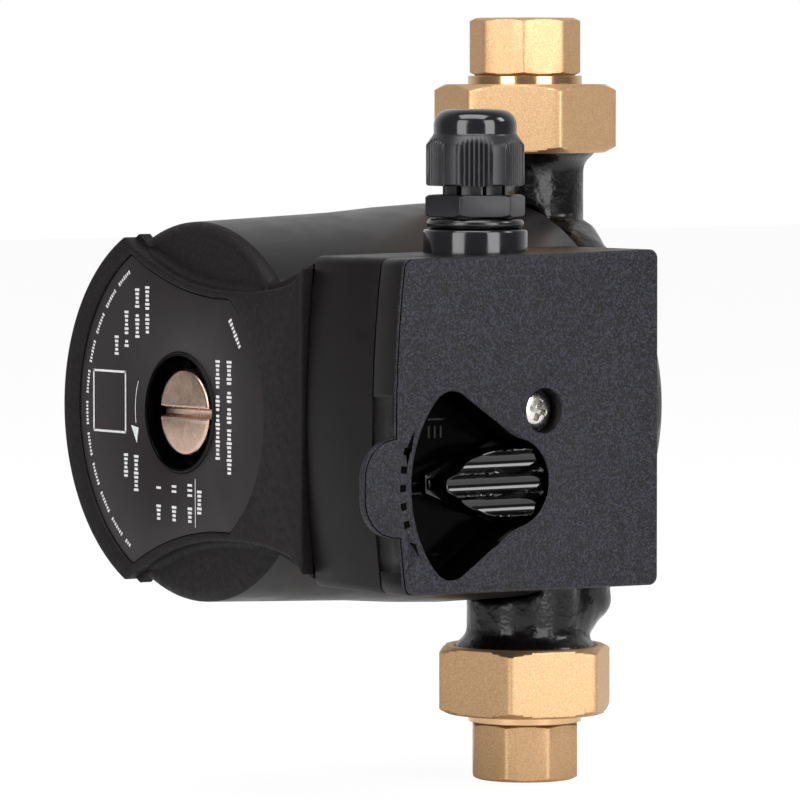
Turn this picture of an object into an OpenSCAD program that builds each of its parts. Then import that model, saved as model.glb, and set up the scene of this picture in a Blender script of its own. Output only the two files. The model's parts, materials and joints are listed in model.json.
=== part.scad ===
/* [Pipe line] */
// Distance from the motor shell's foot to the union nuts, which sets the length between the ports
neck_show = 11.5; // [10:0.5:40]
// Radius of the water passage in the housing ports
port_bore_r = 10; // [8:0.1:11]
// Outside radius of the housing necks
neck_r = 13.7; // [13:0.1:14.5]
// Radius of the male union thread on the housing ports
union_thread_r = 16.6; // [16:0.05:17.2]
// Length of the male union thread
union_thread_len = 7.2; // [6:0.1:9]

/* [Unions] */
// Width across the flats of the union nuts
nut_flats = 37.5; // [37:0.1:41]
// Height of the union nuts
nut_h = 16; // [15:0.1:19]
// Thickness of the lip that draws the tail in
nut_lip = 3.2; // [2.5:0.1:4]
// Thickness of the flat union gaskets
gasket_t = 2; // [1:0.1:3]
// Width across the flats of the octagonal tail ends
tail_flats = 24.3; // [23.5:0.1:26]
// Length of the octagonal tail ends
tail_oct_len = 12.9; // [11:0.1:18]
// Radius of the round tail barrel
tail_barrel_r = 13.35; // [12.5:0.05:13.6]
// Length of the barrel that shows outside the nut
tail_barrel_show = 2.6; // [1:0.1:6]
// Radius of the threaded hole in the tails
tail_thread_r = 9.32; // [8.5:0.02:9.8]
// Radius of the plain passage in the tails
tail_bore_r = 8; // [6:0.1:8.4]

/* [Pump housing] */
// How much slimmer the volute drum is than the foot of the motor shell
drum_step = 1.7; // [1:0.1:3]
// How far the drum reaches behind the pipe axis
drum_back = 10.5; // [9:0.1:14]
// How far the drum reaches in front of the pipe axis
drum_front = 5; // [4:0.1:7]
// Radius of the rounded rear edge of the drum
drum_round = 5.5; // [3:0.1:6]
// Wall of the volute drum round its chamber
drum_wall = 10.6; // [10:0.1:13]
// Thickness of the wall behind the chamber
chamber_wall = 3.5; // [3:0.1:5]
// Radius of the suction duct
duct_r = 7; // [5:0.1:7.5]
// Wall of the suction duct
duct_wall = 3.2; // [2.5:0.1:4]

/* [Motor shell] */
// Distance from the pipe axis to the end disc of the shell
shell_end = 96; // [90:0.5:110]
// Outside radius at the flared foot of the shell
shell_foot_r = 46.3; // [45:0.1:48]
// How much slimmer the shell is at its end disc
shell_taper = 3.3; // [2:0.1:4]
// Wall of the shell at its end disc
shell_wall = 3.3; // [2.8:0.1:5]
// Radius of the rounded edge round the end disc
shell_edge_r = 3; // [1:0.1:4]
// Thickness of the end wall
shell_end_wall = 4; // [3:0.1:6]
// Height of the raised crest above the end disc
crest_h = 3.5; // [2:0.1:6]
// How far the crest's round side stands out over the end disc
crest_lead = 1.6; // [0:0.1:2]
// Radius of the scallops in the crest
scallop_r = 68; // [50:1:90]
// Distance from the motor axis to the scallops, as a share of the end disc's radius
scallop_share = 0.656; // [0.6:0.002:0.72]
// Offset of the scallops towards the terminal box
scallop_x = 18; // [14:0.5:22]
// Radius of the hole round the vent plug
plug_hole_r = 12.8; // [11:0.1:14]
// Angle of the motor screws above the box plane
screw_angle = 38; // [34:1:40]
// Distance from the shell's foot radius in to the circle of the motor screws
screw_inset = 0.3; // [-0.5:0.1:1]

/* [Rating plate] */
// Width of the crest's rim round the plate's left side
plate_left_rim = 6.6; // [5:0.1:8]
// How much the plate's right side is drawn in from its left side
plate_right_step = 5.5; // [4:0.1:8]
// Thickness of the plate
plate_t = 0.5; // [0.3:0.05:1]
// Depth of the plate's face below the crest
plate_sunk = 0.5; // [0.2:0.05:1]

/* [Rotor and stator] */
// Radius of the shaft
shaft_r = 4; // [3:0.1:5]
// Play between the rotor pack and the can
rotor_play = 0.7; // [0.4:0.05:1.2]
// Length of the rotor and stator packs
pack_len = 36; // [30:0.5:40]
// Distance from the pipe axis to the packs
pack_start = 22; // [21:0.5:26]
// Radius of the rotor can, as a share of the shell's bore
can_share = 0.5416; // [0.5:0.0004:0.56]
// Wall of the rotor can
can_wall = 0.5; // [0.3:0.05:0.6]
// Distance from the pipe axis to the can's end wall
can_end = 79; // [76:0.5:80]
// Number of slots in the stator
slots = 12; // [8:1:16]
// Distance from the impeller's rim to the chamber wall
impeller_play = 6; // [3:0.1:9]
// Number of impeller blades
blades = 6; // [4:1:8]

/* [Vent plug] */
// Radius of the plug's head
plug_r = 9.75; // [9:0.05:10.5]
// Height of the plug's head
plug_head_h = 5; // [4:0.1:6]
// Depth of the plug's face below the crest
plug_sunk = 2.8; // [1:0.1:4]
// Width of the screwdriver slot
plug_slot_w = 2; // [1.2:0.1:3]
// Depth of the screwdriver slot
plug_slot_d = 1.8; // [1:0.1:3]
// Radius of the plug's threaded shank
plug_thread_r = 7.9; // [7:0.05:8.2]

/* [Terminal box] */
// Height of the bottom of the box above the shell's foot
box_stand = 0.7; // [0.6:0.1:3]
// Height of the base of the box
base_h = 24.4; // [22:0.1:30]
// Height of the cover above the seam
cover_h = 8.9; // [8:0.1:12]
// How far the box's far side stops short of the end disc
box_short = 0.2; // [-2:0.1:2]
// Distance from the pipe axis to the box's near side
box_near = 25.2; // [24:0.1:28]
// Half height of the box at its far side
box_half_far = 36.4; // [36:0.1:38]
// Half height of the box at its near side
box_half_near = 37.4; // [36.5:0.1:39]
// Bulge of the far side
box_bow = 2.5; // [1:0.1:4]
// Radius of the box's upright corners
box_corner_r = 2; // [1:0.1:3]
// Wall of the box and its cover
box_wall = 2.2; // [1.8:0.1:2.6]
// Gap between the base and the cover
seam_gap = 0.5; // [0.3:0.05:0.8]

/* [Speed selector] */
// Distance from the pipe axis to the knob's axis
knob_out = 66; // [64:0.5:68]
// Distance of the knob's axis below the motor axis
knob_drop = 13; // [12:0.5:14]
// Radius of the window round the knob
window_r = 9.7; // [9.4:0.1:10.5]
// Radius of the window's arc over the speed marks
window_fan_r = 28; // [25:0.5:29]
// Depth of the window below the cover's face
window_depth = 10.5; // [8:0.1:12]
// Half width of the knob's grip
grip_half = 7.1; // [6:0.1:7.5]
// Length of the grip from its axis to its tip
grip_tip = 19; // [16:0.1:20]
// Height of the knob above the window's floor
knob_h = 9; // [6:0.1:10]
// Radius of the knob's skirt
skirt_r = 9; // [8.6:0.1:9.2]

/* [Cover screw] */
// Distance from the pipe axis to the cover screw
cover_screw_out = 57.5; // [56:0.5:58]
// Height of the cover screw above the motor axis
cover_screw_up = 2.5; // [2:0.1:4]
// Radius of the recess round the screw
screw_recess_r = 4.95; // [4.6:0.05:5.2]
// Radius of the pan head
pan_r = 4; // [3.5:0.1:4.2]

/* [Cable gland] */
// Radius of the boss on the box
boss_r = 11.6; // [11:0.1:11.9]
// Height of the boss's top above the motor axis
boss_top = 42; // [41:0.1:44]
// Radius of the gland's lower thread
gland_thread_r = 8; // [7:0.1:8.5]
// Width across the flats of the gland's hexagon
gland_flats = 19.7; // [18:0.1:20.8]
// Height of the gland's hexagon
gland_hex_h = 4.9; // [4:0.1:7]
// Radius of the clamping fingers
finger_r = 7.2; // [6.5:0.1:7.6]
// Radius of the cap nut over its clipped corners
cap_r = 10.9; // [10.4:0.1:11.5]
// Width across the ribbed flats of the cap nut
cap_flats = 20.7; // [19.6:0.1:21.5]
// Height of the ribbed part of the cap nut
cap_rib_h = 11.4; // [9:0.1:14]
// Height of the dome on the cap nut
dome_h = 5.5; // [4:0.1:7]
// Radius of the cable hole in the gland's seal
cable_r = 4; // [3:0.1:4.5]

/* [Hidden] */
$fn = 64;

// Clearances
// Overrun of every cut
cut = 1;
// Radial play of threads and running fits
fit = 0.05;
// Play between a fixed round part and its seat
seat = 0.1;
// Play between parts that move past each other
clear = 0.3;

// Pipe line, measured from the motor axis; the length between the ports comes to 130
port_to_port = 2 * (shell_foot_r + neck_show + union_thread_len);
port_face = port_to_port / 2;
nut_low = port_face - union_thread_len;
nut_top = nut_low + nut_h;
tail_flange_low = port_face + gasket_t;
nut_lip_low = nut_top - nut_lip;
tail_flange_top = nut_lip_low - clear;
oct_low = nut_top + tail_barrel_show;
tail_end = oct_low + tail_oct_len;
axis_h = tail_end;
upper_nut_turn = 44.5;
lower_nut_turn = 13;
upper_tail_turn = 5.3;
lower_tail_turn = 32.3;
nut_bevel = 1.4;
tail_bevel = 0.9;
neck_flare = 2.4;
neck_flare_len = 2.3;
thread_bevel = 0.8;
gasket_rim = 5.4;
gasket_r = port_bore_r + gasket_rim;
flange_play = 0.6;
tail_flange_r = union_thread_r - flange_play;

// Volute drum and its chamber
drum_r = shell_foot_r - drum_step;
chamber_r = drum_r - drum_wall;
chamber_back = drum_back - chamber_wall;
plate_seat_m = 2.3;
plate_seat_w = 3;
plate_seat_r = chamber_r + plate_seat_w;
o_ring_t = 1.2;
o_ring_land = 1.4;
o_ring_r = plate_seat_r + o_ring_t + o_ring_land;
outlet_r = 6;
outlet_y = (chamber_back - plate_seat_m) / 2;
eye_r = 8;
duct_y = drum_back + duct_r;
duct_bend_y = duct_y * 0.8;
duct_bend_z = chamber_r + duct_r + duct_wall;
duct_top_z = chamber_r - duct_r / 3;
knuckle_share = 1.06;
flange_groove = 1;

// Motor shell profile
shell_face = drum_front;
flare_m_shares = [0.26, 0.41, 0.55];
flare_r_shares = [1, 0.79, 0.48];
shell_end_r = shell_foot_r - shell_taper;
shell_bore_r = shell_end_r - shell_wall;
crest_r = shell_end_r + crest_lead;
scallop_reach = shell_end_r * scallop_share;
screw_pcr = shell_foot_r - screw_inset;
crest_front = shell_end + crest_h;
crest_root = shell_end - shell_edge_r;
plate_face = crest_front - plate_sunk;
pad_half = 22;
lug_r = 5.8;
lug_len = 8;
motor_screw_r = 2.5;
motor_screw_len = 14;
motor_head_r = 4.25;
motor_head_h = 5;
channel_play = 0.5;
head_channel_r = motor_head_r + channel_play;
head_channel_len = 30;
screw_depth = motor_screw_len - lug_len;
plate_gap = 0.2;
plate_scallop_r = 78;
plate_scallop_rim = 2.2;
plate_scallop_reach = scallop_reach - plate_scallop_rim;
plate_left_r = crest_r - plate_left_rim;
plate_right_r = plate_left_r - plate_right_step;

// Rotor inside the can
can_r = shell_bore_r * can_share;
rotor_r = can_r - can_wall - rotor_play;
flange_t = 0.8;
bearing_plate_t = 1.3;
can_flange_m = plate_seat_m + bearing_plate_t;
front_hub_end = 12;
bush_r = 7;
hub_wall = 2;
thrust_t = 2;
rear_bush_r = 9;
rear_bush_len = 10;
can_end_room = 2;
rear_bush_m = can_end - can_end_room - rear_bush_len;
carrier_t = 3;
shaft_room = 3;
shaft_front = drum_back - chamber_wall - shaft_room;
shaft_short = 1;
shaft_back = rear_bush_m + rear_bush_len - shaft_short;
impeller_room = 1.3;
impeller_back_m = plate_seat_m - impeller_room;
shroud_t = 1;
impeller_r = chamber_r - impeller_play;
impeller_w = 6.5;
impeller_front_m = impeller_back_m - impeller_w;
eye_neck_r = eye_r - clear;
blade_t = 1.2;
blade_arc_r = impeller_r * 0.62;
stator_r = shell_bore_r - clear;
stack_over = 1;
tooth_tip = 2.5;
winding_in_r = can_r + tooth_tip;
yoke = 5;
winding_out_r = stator_r - yoke;
slot_w = 5;
slot_mouth_w = 2;
end_turn_len = 8;
bar_w = slot_w - 2 * clear;
boss_can_r = 12;

// Vent plug
plug_face = crest_front - plug_sunk;
plug_head_m = plug_face - plug_head_h;
seal_t = 1.1;
seal_r = plug_thread_r + seal_t - seat;
plug_neck_r = seal_r - seal_t - clear;
seal_m = plug_head_m - clear - seal_t;
can_boss_m = seal_m - seal_t;
plug_end_room = 2;
plug_end_m = can_end + plug_end_room;

// Terminal box
box_floor_x = shell_foot_r + box_stand;
box_seam_x = box_floor_x + base_h;
box_face_x = box_seam_x + cover_h;
box_far = shell_end - box_short;
box_mid_y = -(box_far + box_near) / 2;
box_floor_t = 2.5;
gasket_w = 1.2;
cover_low_x = box_seam_x + seam_gap;
gland_x = (box_floor_x + box_seam_x) / 2;
gland_y = box_mid_y;
pillar_r = 4;
pillar_hole_r = 1.6;
screw_shank_r = 1.9;
screw_recess_d = 4.4;
recess_floor_x = box_face_x - screw_recess_d;
pan_h = 2.2;
pan_slot_w = 1;
cover_screw_len = 14;
window_floor_x = box_face_x - window_depth;
window_floor_t = 1.4;
window_half_spread = 20.6;
window_out = 17.4;
window_corner_r = 4;
window_round_angle = 64;
speed_step = 45;
mark_h = 0.5;
mark_w = 0.9;
mark_len = 3.6;
tab_r = 11;
tab_t = 2.6;
tab_reach = 10.9;
tab_fillet = 5;
base_screw_r = 2;
base_head_r = 3.8;
base_head_h = 2.4;
base_screw_len = 7;
grommet_edge = 8.8;
grommet_out = box_far - grommet_edge;
grommet_r = 5;
grommet_hole_r = 3;
grommet_lip = 1.2;
near_screw_edge = 16.8;
far_screw_gap = 12;
base_screw_out = [box_near + near_screw_edge, grommet_out - far_screw_gap];
inside_x = box_floor_x + box_floor_t;

// Parts inside the terminal box
block_size = [17, 20, 11];
block_at = [-93, 8];
block_ways = 3;
block_screw_r = 2.4;
block_screw_h = 1;
earth_at = [-88, -27];
earth_r = 3.5;
earth_h = 2.4;
switch_half = 10.5;
switch_gap = 5.5;
cap_room = 2.6;
cap_far = knob_out - switch_half - switch_gap;
cap_size = [cap_far - box_near - box_wall - cap_room, 28, 17];
cap_at = [-cap_far, -33.5];
cap_edge_r = 2;
switch_h = 12;
switch_ear = 1.5;
stem_r = 3;
stem_len = 8;
stem_bore_len = stem_len + clear;
knob_low_x = window_floor_x + clear;
skirt_t = 2;
flute_r = 2.4;
flute_pitch = 2 * flute_r;
flutes = 3;
grip_swell = 1;
grip_round_angle = 62;
stem_hole_play = 1.2;
knob_floor_hole_r = stem_r + stem_hole_play;

// Gland heights, measured from the motor axis
boss_low = box_half_near - box_wall - cut;
ring_t = 1.2;
ring_play = 0.4;
ring_r = gland_thread_r + ring_t + ring_play;
hex_low = boss_top + 2 * ring_t + clear;
hex_top = hex_low + gland_hex_h;
cap_gap = 2;
cap_low = hex_top + cap_gap;
cap_rib_top = cap_low + cap_rib_h;
dome_top = cap_rib_top + dome_h;
dome_step = 1.7;
dome_foot_r = cap_r - dome_step;
dome_hole_play = 1.3;
dome_hole_r = cable_r + dome_hole_play;
finger_room = 1.6;
finger_top = cap_rib_top - finger_room;
finger_wall = 1.5;
finger_slot_w = 1.3;
fingers = 8;
seal_short = 1;
seal_in_gland_top = finger_top - seal_short;
lock_flats = 18.6;
lock_h = 3;
lock_top = box_half_far - box_wall;
thread_show = 1.5;
thread_low = lock_top - lock_h - thread_show;
rib_count = 60;
rib_depth = 0.4;
gland_turn = 5;
cap_turn = -7.6;

// Colours
iron_black = [0.03, 0.03, 0.035];
shell_black = [0.06, 0.055, 0.055];
plastic_black = [0.08, 0.08, 0.085];
brass_yellow = [0.86, 0.68, 0.4];
steel_grey = [0.7, 0.7, 0.7];
nickel = [0.66, 0.58, 0.52];
rubber_black = [0.05, 0.05, 0.05];
copper_red = [0.72, 0.4, 0.2];
plate_grey = [0.17, 0.17, 0.18];

function unit(v) = v / norm(v);

// Points of an arc that rounds the corner at b between a and c
function corner_arc(a, b, c, r, steps) =
    let (p = unit(a - b), q = unit(c - b), half = acos(p * q) / 2,
        centre = b + unit(p + q) * r / sin(half),
        s = b + p * r / tan(half) - centre, e = b + q * r / tan(half) - centre)
    [for (i = [0:steps]) centre + r * unit(s * (steps - i) + e * i)];

// A closed outline whose corners are rounded, each with its own radius
function rounded(pts, radii, steps = 6) =
    let (n = len(pts))
    [for (i = [0:n - 1])
        each radii[i] > 0
            ? corner_arc(pts[(i + n - 1) % n], pts[i], pts[(i + 1) % n], radii[i], steps)
            : [pts[i]]];

// Points of a round arc about a centre
function arc(centre, r, from, to, steps) =
    [for (i = [0:steps]) let (a = from + (to - from) * i / steps)
        centre + r * [cos(a), sin(a)]];

// Frames: the motor frame looks from the far end of the motor, its z runs out from the pipe axis
module motor_frame() translate([0, 0, axis_h]) rotate([90, 0, 0]) children();

// The box frame has x along Y, y upwards and z out of the cover
module box_frame() translate([0, 0, axis_h]) rotate([90, 0, 90]) children();

// The pipe frame's z runs out of one port, up for 1 and down for -1
module pipe_frame(side) translate([0, 0, axis_h]) rotate([side > 0 ? 0 : 180, 0, 0]) children();

module lathe(points) rotate_extrude() polygon(points);

module tube(r_out, r_in, low, high) translate([0, 0, low])
    difference() {
        cylinder(r = r_out, h = high - low);
        translate([0, 0, -cut]) cylinder(r = r_in, h = high - low + 2 * cut);
    }

module bore(r, low, high) translate([0, 0, low]) cylinder(r = r, h = high - low);

// A prism with a number of flats, chamfered at both ends
module flats_prism(flats, sides, low, high, bevel) {
    corner = flats / 2 / cos(180 / sides);
    intersection() {
        translate([0, 0, low]) cylinder(r = corner, h = high - low, $fn = sides);
        lathe([[0, low], [corner - bevel, low], [corner, low + bevel / 2],
            [corner, high - bevel / 2], [corner - bevel, high], [0, high]]);
    }
}

// Pump housing
module drum_profile() {
    edge = arc([drum_r - drum_round, -drum_back + drum_round], drum_round, 270, 360, 8);
    polygon(concat([[0, -drum_back]], edge,
        [[drum_r, drum_front - flange_groove],
        [drum_r - flange_groove, drum_front], [0, drum_front]]));
}

module neck_outside() {
    low = nut_low - clear;
    lathe([[0, 0], [neck_r, 0], [neck_r, low - neck_flare_len],
        [neck_r + neck_flare, low], [union_thread_r, low],
        [union_thread_r, port_face - thread_bevel],
        [union_thread_r - thread_bevel, port_face], [0, port_face]]);
}

// Round limb of the suction duct between two points of the plane behind the pipe
module duct_limb(from, to, r1, r2) {
    run = to - from;
    translate([0, from[0], -from[1]])
        rotate([270 - atan2(run[1], run[0]), 0, 0]) cylinder(r1 = r1, r2 = r2, h = norm(run));
}

// The suction duct from a port to past the impeller's eye, with a knuckle at each bend
module duct(r_mouth, r, r_knuckle, past_eye) translate([0, 0, axis_h]) {
    mouth = [0, nut_low - neck_flare_len - clear];
    bend = [duct_bend_y, duct_bend_z];
    top = [duct_y, duct_top_z];
    eye = [duct_y, -past_eye];
    duct_limb(mouth, bend, r_mouth, r);
    duct_limb(bend, top, r, r);
    duct_limb(top, eye, r, r);
    for (knuckle = [bend, top]) translate([0, knuckle[0], -knuckle[1]]) sphere(r = r_knuckle);
}

module pump_housing() color(iron_black) {
    outer = duct_r + duct_wall;
    difference() {
        union() {
            motor_frame() rotate_extrude() drum_profile();
            // the necks and the duct leave room for the foot of the motor shell
            difference() {
                union() {
                    pipe_frame(1) neck_outside();
                    pipe_frame(-1) neck_outside();
                    duct(neck_r - clear, outer, outer * knuckle_share, eye_r + duct_wall);
                }
                motor_frame() bore(shell_foot_r + clear, drum_front, neck_r + cut);
            }
            motor_frame() for (a = screw_places())
                rotate(a) translate([screw_pcr, 0, drum_front - lug_len])
                    cylinder(r = lug_r, h = lug_len - seat);
        }
        motor_frame() bore(chamber_r, -chamber_back, drum_front + cut);
        motor_frame() bore(plate_seat_r + seat, plate_seat_m, drum_front + cut);
        motor_frame() tube(o_ring_r + o_ring_t, o_ring_r - o_ring_t,
            drum_front - 2 * o_ring_t, drum_front + cut);
        motor_frame() for (a = screw_places())
            rotate(a) translate([screw_pcr, 0, drum_front - screw_depth - cut])
                cylinder(r = motor_screw_r, h = screw_depth + 2 * cut);
        pipe_frame(1) bore(port_bore_r, nut_low - port_bore_r, port_face + cut);
        pipe_frame(-1) bore(port_bore_r, nut_low - neck_flare_len, port_face + cut);
        pipe_frame(1) translate([0, outlet_y, chamber_r - outlet_r])
            cylinder(r = outlet_r, h = nut_low - chamber_r);
        duct(duct_r, duct_r, duct_r * knuckle_share, eye_r / 2);
        motor_frame() bore(eye_r, -duct_y, 0);
    }
}

function screw_places() = [screw_angle, 180 - screw_angle, 180 + screw_angle, -screw_angle];

// Motor shell
function shell_r(i) = shell_end_r + shell_taper * flare_r_shares[i];
function shell_m(i) = shell_face + (shell_end - shell_face) * flare_m_shares[i];

module shell_profile() {
    edge = arc([shell_end_r - shell_edge_r, shell_end - shell_edge_r], shell_edge_r, 0, 90, 8);
    polygon(concat([[shell_foot_r - 2 * flange_groove, shell_face],
        [shell_foot_r, shell_face + 2 * flange_groove],
        [shell_r(0), shell_m(0)], [shell_r(1), shell_m(1)], [shell_r(2), shell_m(2)]],
        edge, [[0, shell_end], [0, shell_end - shell_end_wall],
        [shell_bore_r, shell_end - shell_end_wall], [shell_bore_r, shell_face]]));
}

module crest_outline() difference() {
    union() {
        circle(r = crest_r, $fn = 128);
        translate([0, -box_half_far]) square([box_floor_x - seat, 2 * box_half_far]);
    }
    for (side = [-1, 1])
        translate([scallop_x, side * (scallop_reach + scallop_r)])
            circle(r = scallop_r, $fn = 256);
}

module plate_outline(grow) difference() {
    intersection() {
        circle(r = plate_left_r + grow, $fn = 128);
        union() {
            translate([-plate_left_r - cut, -plate_left_r - cut])
                square([plate_left_r + cut, 2 * (plate_left_r + cut)]);
            circle(r = plate_right_r + grow, $fn = 128);
        }
    }
    for (side = [-1, 1])
        translate([scallop_x, side * (plate_scallop_reach + grow + plate_scallop_r)])
            circle(r = plate_scallop_r, $fn = 256);
}

module motor_shell() color(shell_black) motor_frame() difference() {
    union() {
        rotate_extrude($fn = 128) shell_profile();
        translate([0, 0, crest_root]) linear_extrude(crest_front - crest_root) crest_outline();
        // pad that carries the terminal box
        translate([0, -pad_half, box_near + box_wall])
            cube([box_floor_x, 2 * pad_half, crest_root - box_near - box_wall]);
        for (a = screw_places())
            rotate(a) translate([screw_pcr, 0, shell_face]) cylinder(r = lug_r, h = lug_len);
    }
    bore(shell_bore_r, shell_face - cut, shell_end - shell_end_wall);
    bore(plug_hole_r, can_end, crest_front + cut);
    translate([0, 0, plate_face - plate_t]) linear_extrude(plate_t + plate_sunk + cut)
        plate_outline(plate_gap);
    for (a = screw_places()) rotate(a) translate([screw_pcr, 0, shell_face]) {
        translate([0, 0, -cut]) cylinder(r = motor_screw_r + clear, h = lug_len + 2 * cut);
        translate([0, 0, lug_len]) cylinder(r = head_channel_r, h = head_channel_len);
    }
    for (out = base_screw_out) translate([box_floor_x - base_screw_len, 0, out])
        rotate([0, 90, 0]) cylinder(r = base_screw_r, h = base_screw_len + cut);
    translate([shell_bore_r - cut, 0, grommet_out]) rotate([0, 90, 0])
        cylinder(r = grommet_hole_r, h = box_floor_x);
}

module motor_screws() color(steel_grey) motor_frame() for (a = screw_places())
    rotate(a) translate([screw_pcr, 0, shell_face]) difference() {
        union() {
            translate([0, 0, -screw_depth]) cylinder(r = motor_screw_r - fit, h = motor_screw_len);
            translate([0, 0, lug_len]) cylinder(r = motor_head_r, h = motor_head_h);
        }
        translate([0, 0, lug_len + motor_head_h / 2])
            cylinder(r = motor_head_r / 2, h = motor_head_h, $fn = 6);
    }

module housing_o_ring() color(rubber_black) motor_frame()
    translate([0, 0, drum_front - o_ring_t]) rotate_extrude()
        translate([o_ring_r, 0]) circle(r = o_ring_t - seat, $fn = 24);

module bearing_plate() color(steel_grey) motor_frame() {
    hub_r = bush_r + hub_wall;
    lathe([[bush_r + seat, plate_seat_m], [plate_seat_r, plate_seat_m],
        [plate_seat_r, can_flange_m], [hub_r, can_flange_m], [hub_r, front_hub_end],
        [bush_r + seat, front_hub_end]]);
}

module front_bearing() color(plastic_black) motor_frame()
    tube(bush_r, shaft_r + fit, plate_seat_m, front_hub_end);

module rotor_can() color(steel_grey) motor_frame() {
    inner = can_r - can_wall;
    lathe([[inner, can_flange_m], [plate_seat_r, can_flange_m],
        [plate_seat_r, can_flange_m + flange_t], [can_r, can_flange_m + flange_t],
        [can_r, can_end], [boss_can_r, can_end], [boss_can_r, can_boss_m],
        [plug_thread_r + fit, can_boss_m], [plug_thread_r + fit, can_end - can_wall],
        [inner, can_end - can_wall]]);
}

module rear_bearing_carrier() color(steel_grey) motor_frame() {
    hub_r = rear_bush_r + hub_wall;
    end = rear_bush_m + rear_bush_len;
    lathe([[rear_bush_r + seat, end - carrier_t * 2], [hub_r, end - carrier_t * 2],
        [hub_r, end - carrier_t], [can_r - can_wall - seat, end - carrier_t],
        [can_r - can_wall - seat, end], [rear_bush_r + seat, end]]);
}

module rear_bearing() color(plastic_black) motor_frame()
    tube(rear_bush_r, shaft_r + fit, rear_bush_m, rear_bush_m + rear_bush_len);

module shaft() color(steel_grey) motor_frame()
    bore(shaft_r, -shaft_front, shaft_back);

module thrust_washer() color(plastic_black) motor_frame()
    tube(bush_r + hub_wall, shaft_r + seat, pack_start - clear - thrust_t, pack_start - clear);

module rotor_core() color(steel_grey) motor_frame()
    tube(rotor_r, shaft_r + seat, pack_start, pack_start + pack_len);

// One curved impeller blade, from the hub out to the rim
module blade() intersection() {
    difference() {
        translate([blade_arc_r, 0]) circle(r = blade_arc_r);
        translate([blade_arc_r, 0]) circle(r = blade_arc_r - blade_t);
        translate([-cut, -impeller_r]) square([impeller_r * 2, impeller_r]);
    }
    difference() {
        circle(r = impeller_r - blade_t);
        circle(r = eye_neck_r - blade_t);
    }
}

module impeller() color(plastic_black) motor_frame() {
    hub_r = shaft_r + hub_wall;
    tube(impeller_r, shaft_r + seat, impeller_back_m - shroud_t, impeller_back_m);
    tube(hub_r, shaft_r + seat, impeller_front_m + shroud_t, impeller_back_m);
    tube(impeller_r, eye_neck_r - shroud_t, impeller_front_m, impeller_front_m + shroud_t);
    tube(eye_neck_r, eye_neck_r - shroud_t, -chamber_back - shroud_t, impeller_front_m + shroud_t);
    translate([0, 0, impeller_front_m]) linear_extrude(impeller_w)
        for (i = [0:blades - 1]) rotate(i * 360 / blades) blade();
}

module stator_core() color(steel_grey) motor_frame() difference() {
    tube(stator_r, can_r + seat, pack_start - stack_over, pack_start + pack_len + stack_over);
    for (i = [0:slots - 1]) rotate(i * 360 / slots) {
        translate([winding_in_r, -slot_w / 2, 0])
            cube([winding_out_r - winding_in_r, slot_w, shell_end]);
        translate([0, -slot_mouth_w / 2, 0])
            cube([winding_in_r + cut, slot_mouth_w, shell_end]);
    }
}

module stator_windings() color(copper_red) motor_frame() {
    low = pack_start - stack_over - clear;
    high = pack_start + pack_len + stack_over + clear;
    mid = (winding_in_r + winding_out_r) / 2;
    half = (winding_out_r - winding_in_r) / 2;
    lathe([[mid - half, low], [mid - half, low - end_turn_len / 2],
        [mid - half / 2, low - end_turn_len], [mid + half / 2, low - end_turn_len],
        [mid + half, low - end_turn_len / 2], [mid + half, low]]);
    lathe([[mid - half, high], [mid + half, high], [mid + half, high + end_turn_len / 2],
        [mid + half / 2, high + end_turn_len], [mid - half / 2, high + end_turn_len],
        [mid - half, high + end_turn_len / 2]]);
    for (i = [0:slots - 1]) rotate(i * 360 / slots)
        translate([winding_in_r + clear, -bar_w / 2, low - clear])
            cube([2 * half - 2 * clear, bar_w, high - low + 2 * clear]);
}

module rating_plate() color(plate_grey) motor_frame()
    translate([0, 0, plate_face - plate_t]) linear_extrude(plate_t) difference() {
        plate_outline(0);
        circle(r = plug_hole_r + plate_gap);
    }

module vent_plug() color(nickel) motor_frame() difference() {
    lathe([[0, plug_end_m], [plug_thread_r, plug_end_m], [plug_thread_r, can_boss_m],
        [plug_neck_r, can_boss_m], [plug_neck_r, plug_head_m], [plug_r, plug_head_m],
        [plug_r, plug_face - cut / 2], [plug_r - cut / 2, plug_face], [0, plug_face]]);
    translate([-plug_r - cut, -plug_slot_w / 2, plug_face - plug_slot_d])
        cube([2 * (plug_r + cut), plug_slot_w, plug_slot_d + cut]);
}

module vent_plug_seal() color(rubber_black) motor_frame()
    translate([0, 0, seal_m]) rotate_extrude()
        translate([seal_r, 0]) circle(r = seal_t, $fn = 24);

// Plan of the terminal box, grown outwards or, with a negative value, inwards
function box_bow_r() =
    (box_half_far * box_half_far + box_bow * box_bow) / 2 / box_bow;

function box_plan(grow) =
    let (far = -box_far - grow, near = -box_near + grow,
        up_far = box_half_far + grow, up_near = box_half_near + grow,
        bow_r = box_bow_r(), lean = asin(box_half_far / bow_r),
        bow = [for (i = [-4:4]) let (a = 180 + lean * i * 0.2)
            [far + bow_r - box_bow, 0] + bow_r * [cos(a), sin(a)]])
    concat(corner_arc([near, up_near], [far, up_far], bow[0], box_corner_r, 5),
        bow,
        corner_arc(bow[8], [far, -up_far], [near, -up_near], box_corner_r, 5),
        corner_arc([far, -up_far], [near, -up_near], [near, up_near], box_corner_r, 5),
        corner_arc([near, -up_near], [near, up_near], [far, up_far], box_corner_r, 5));

module box_slab(grow, low, high) translate([0, 0, low])
    linear_extrude(high - low) polygon(box_plan(grow));

module at_gland() translate([gland_x, gland_y, axis_h]) children();

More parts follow.
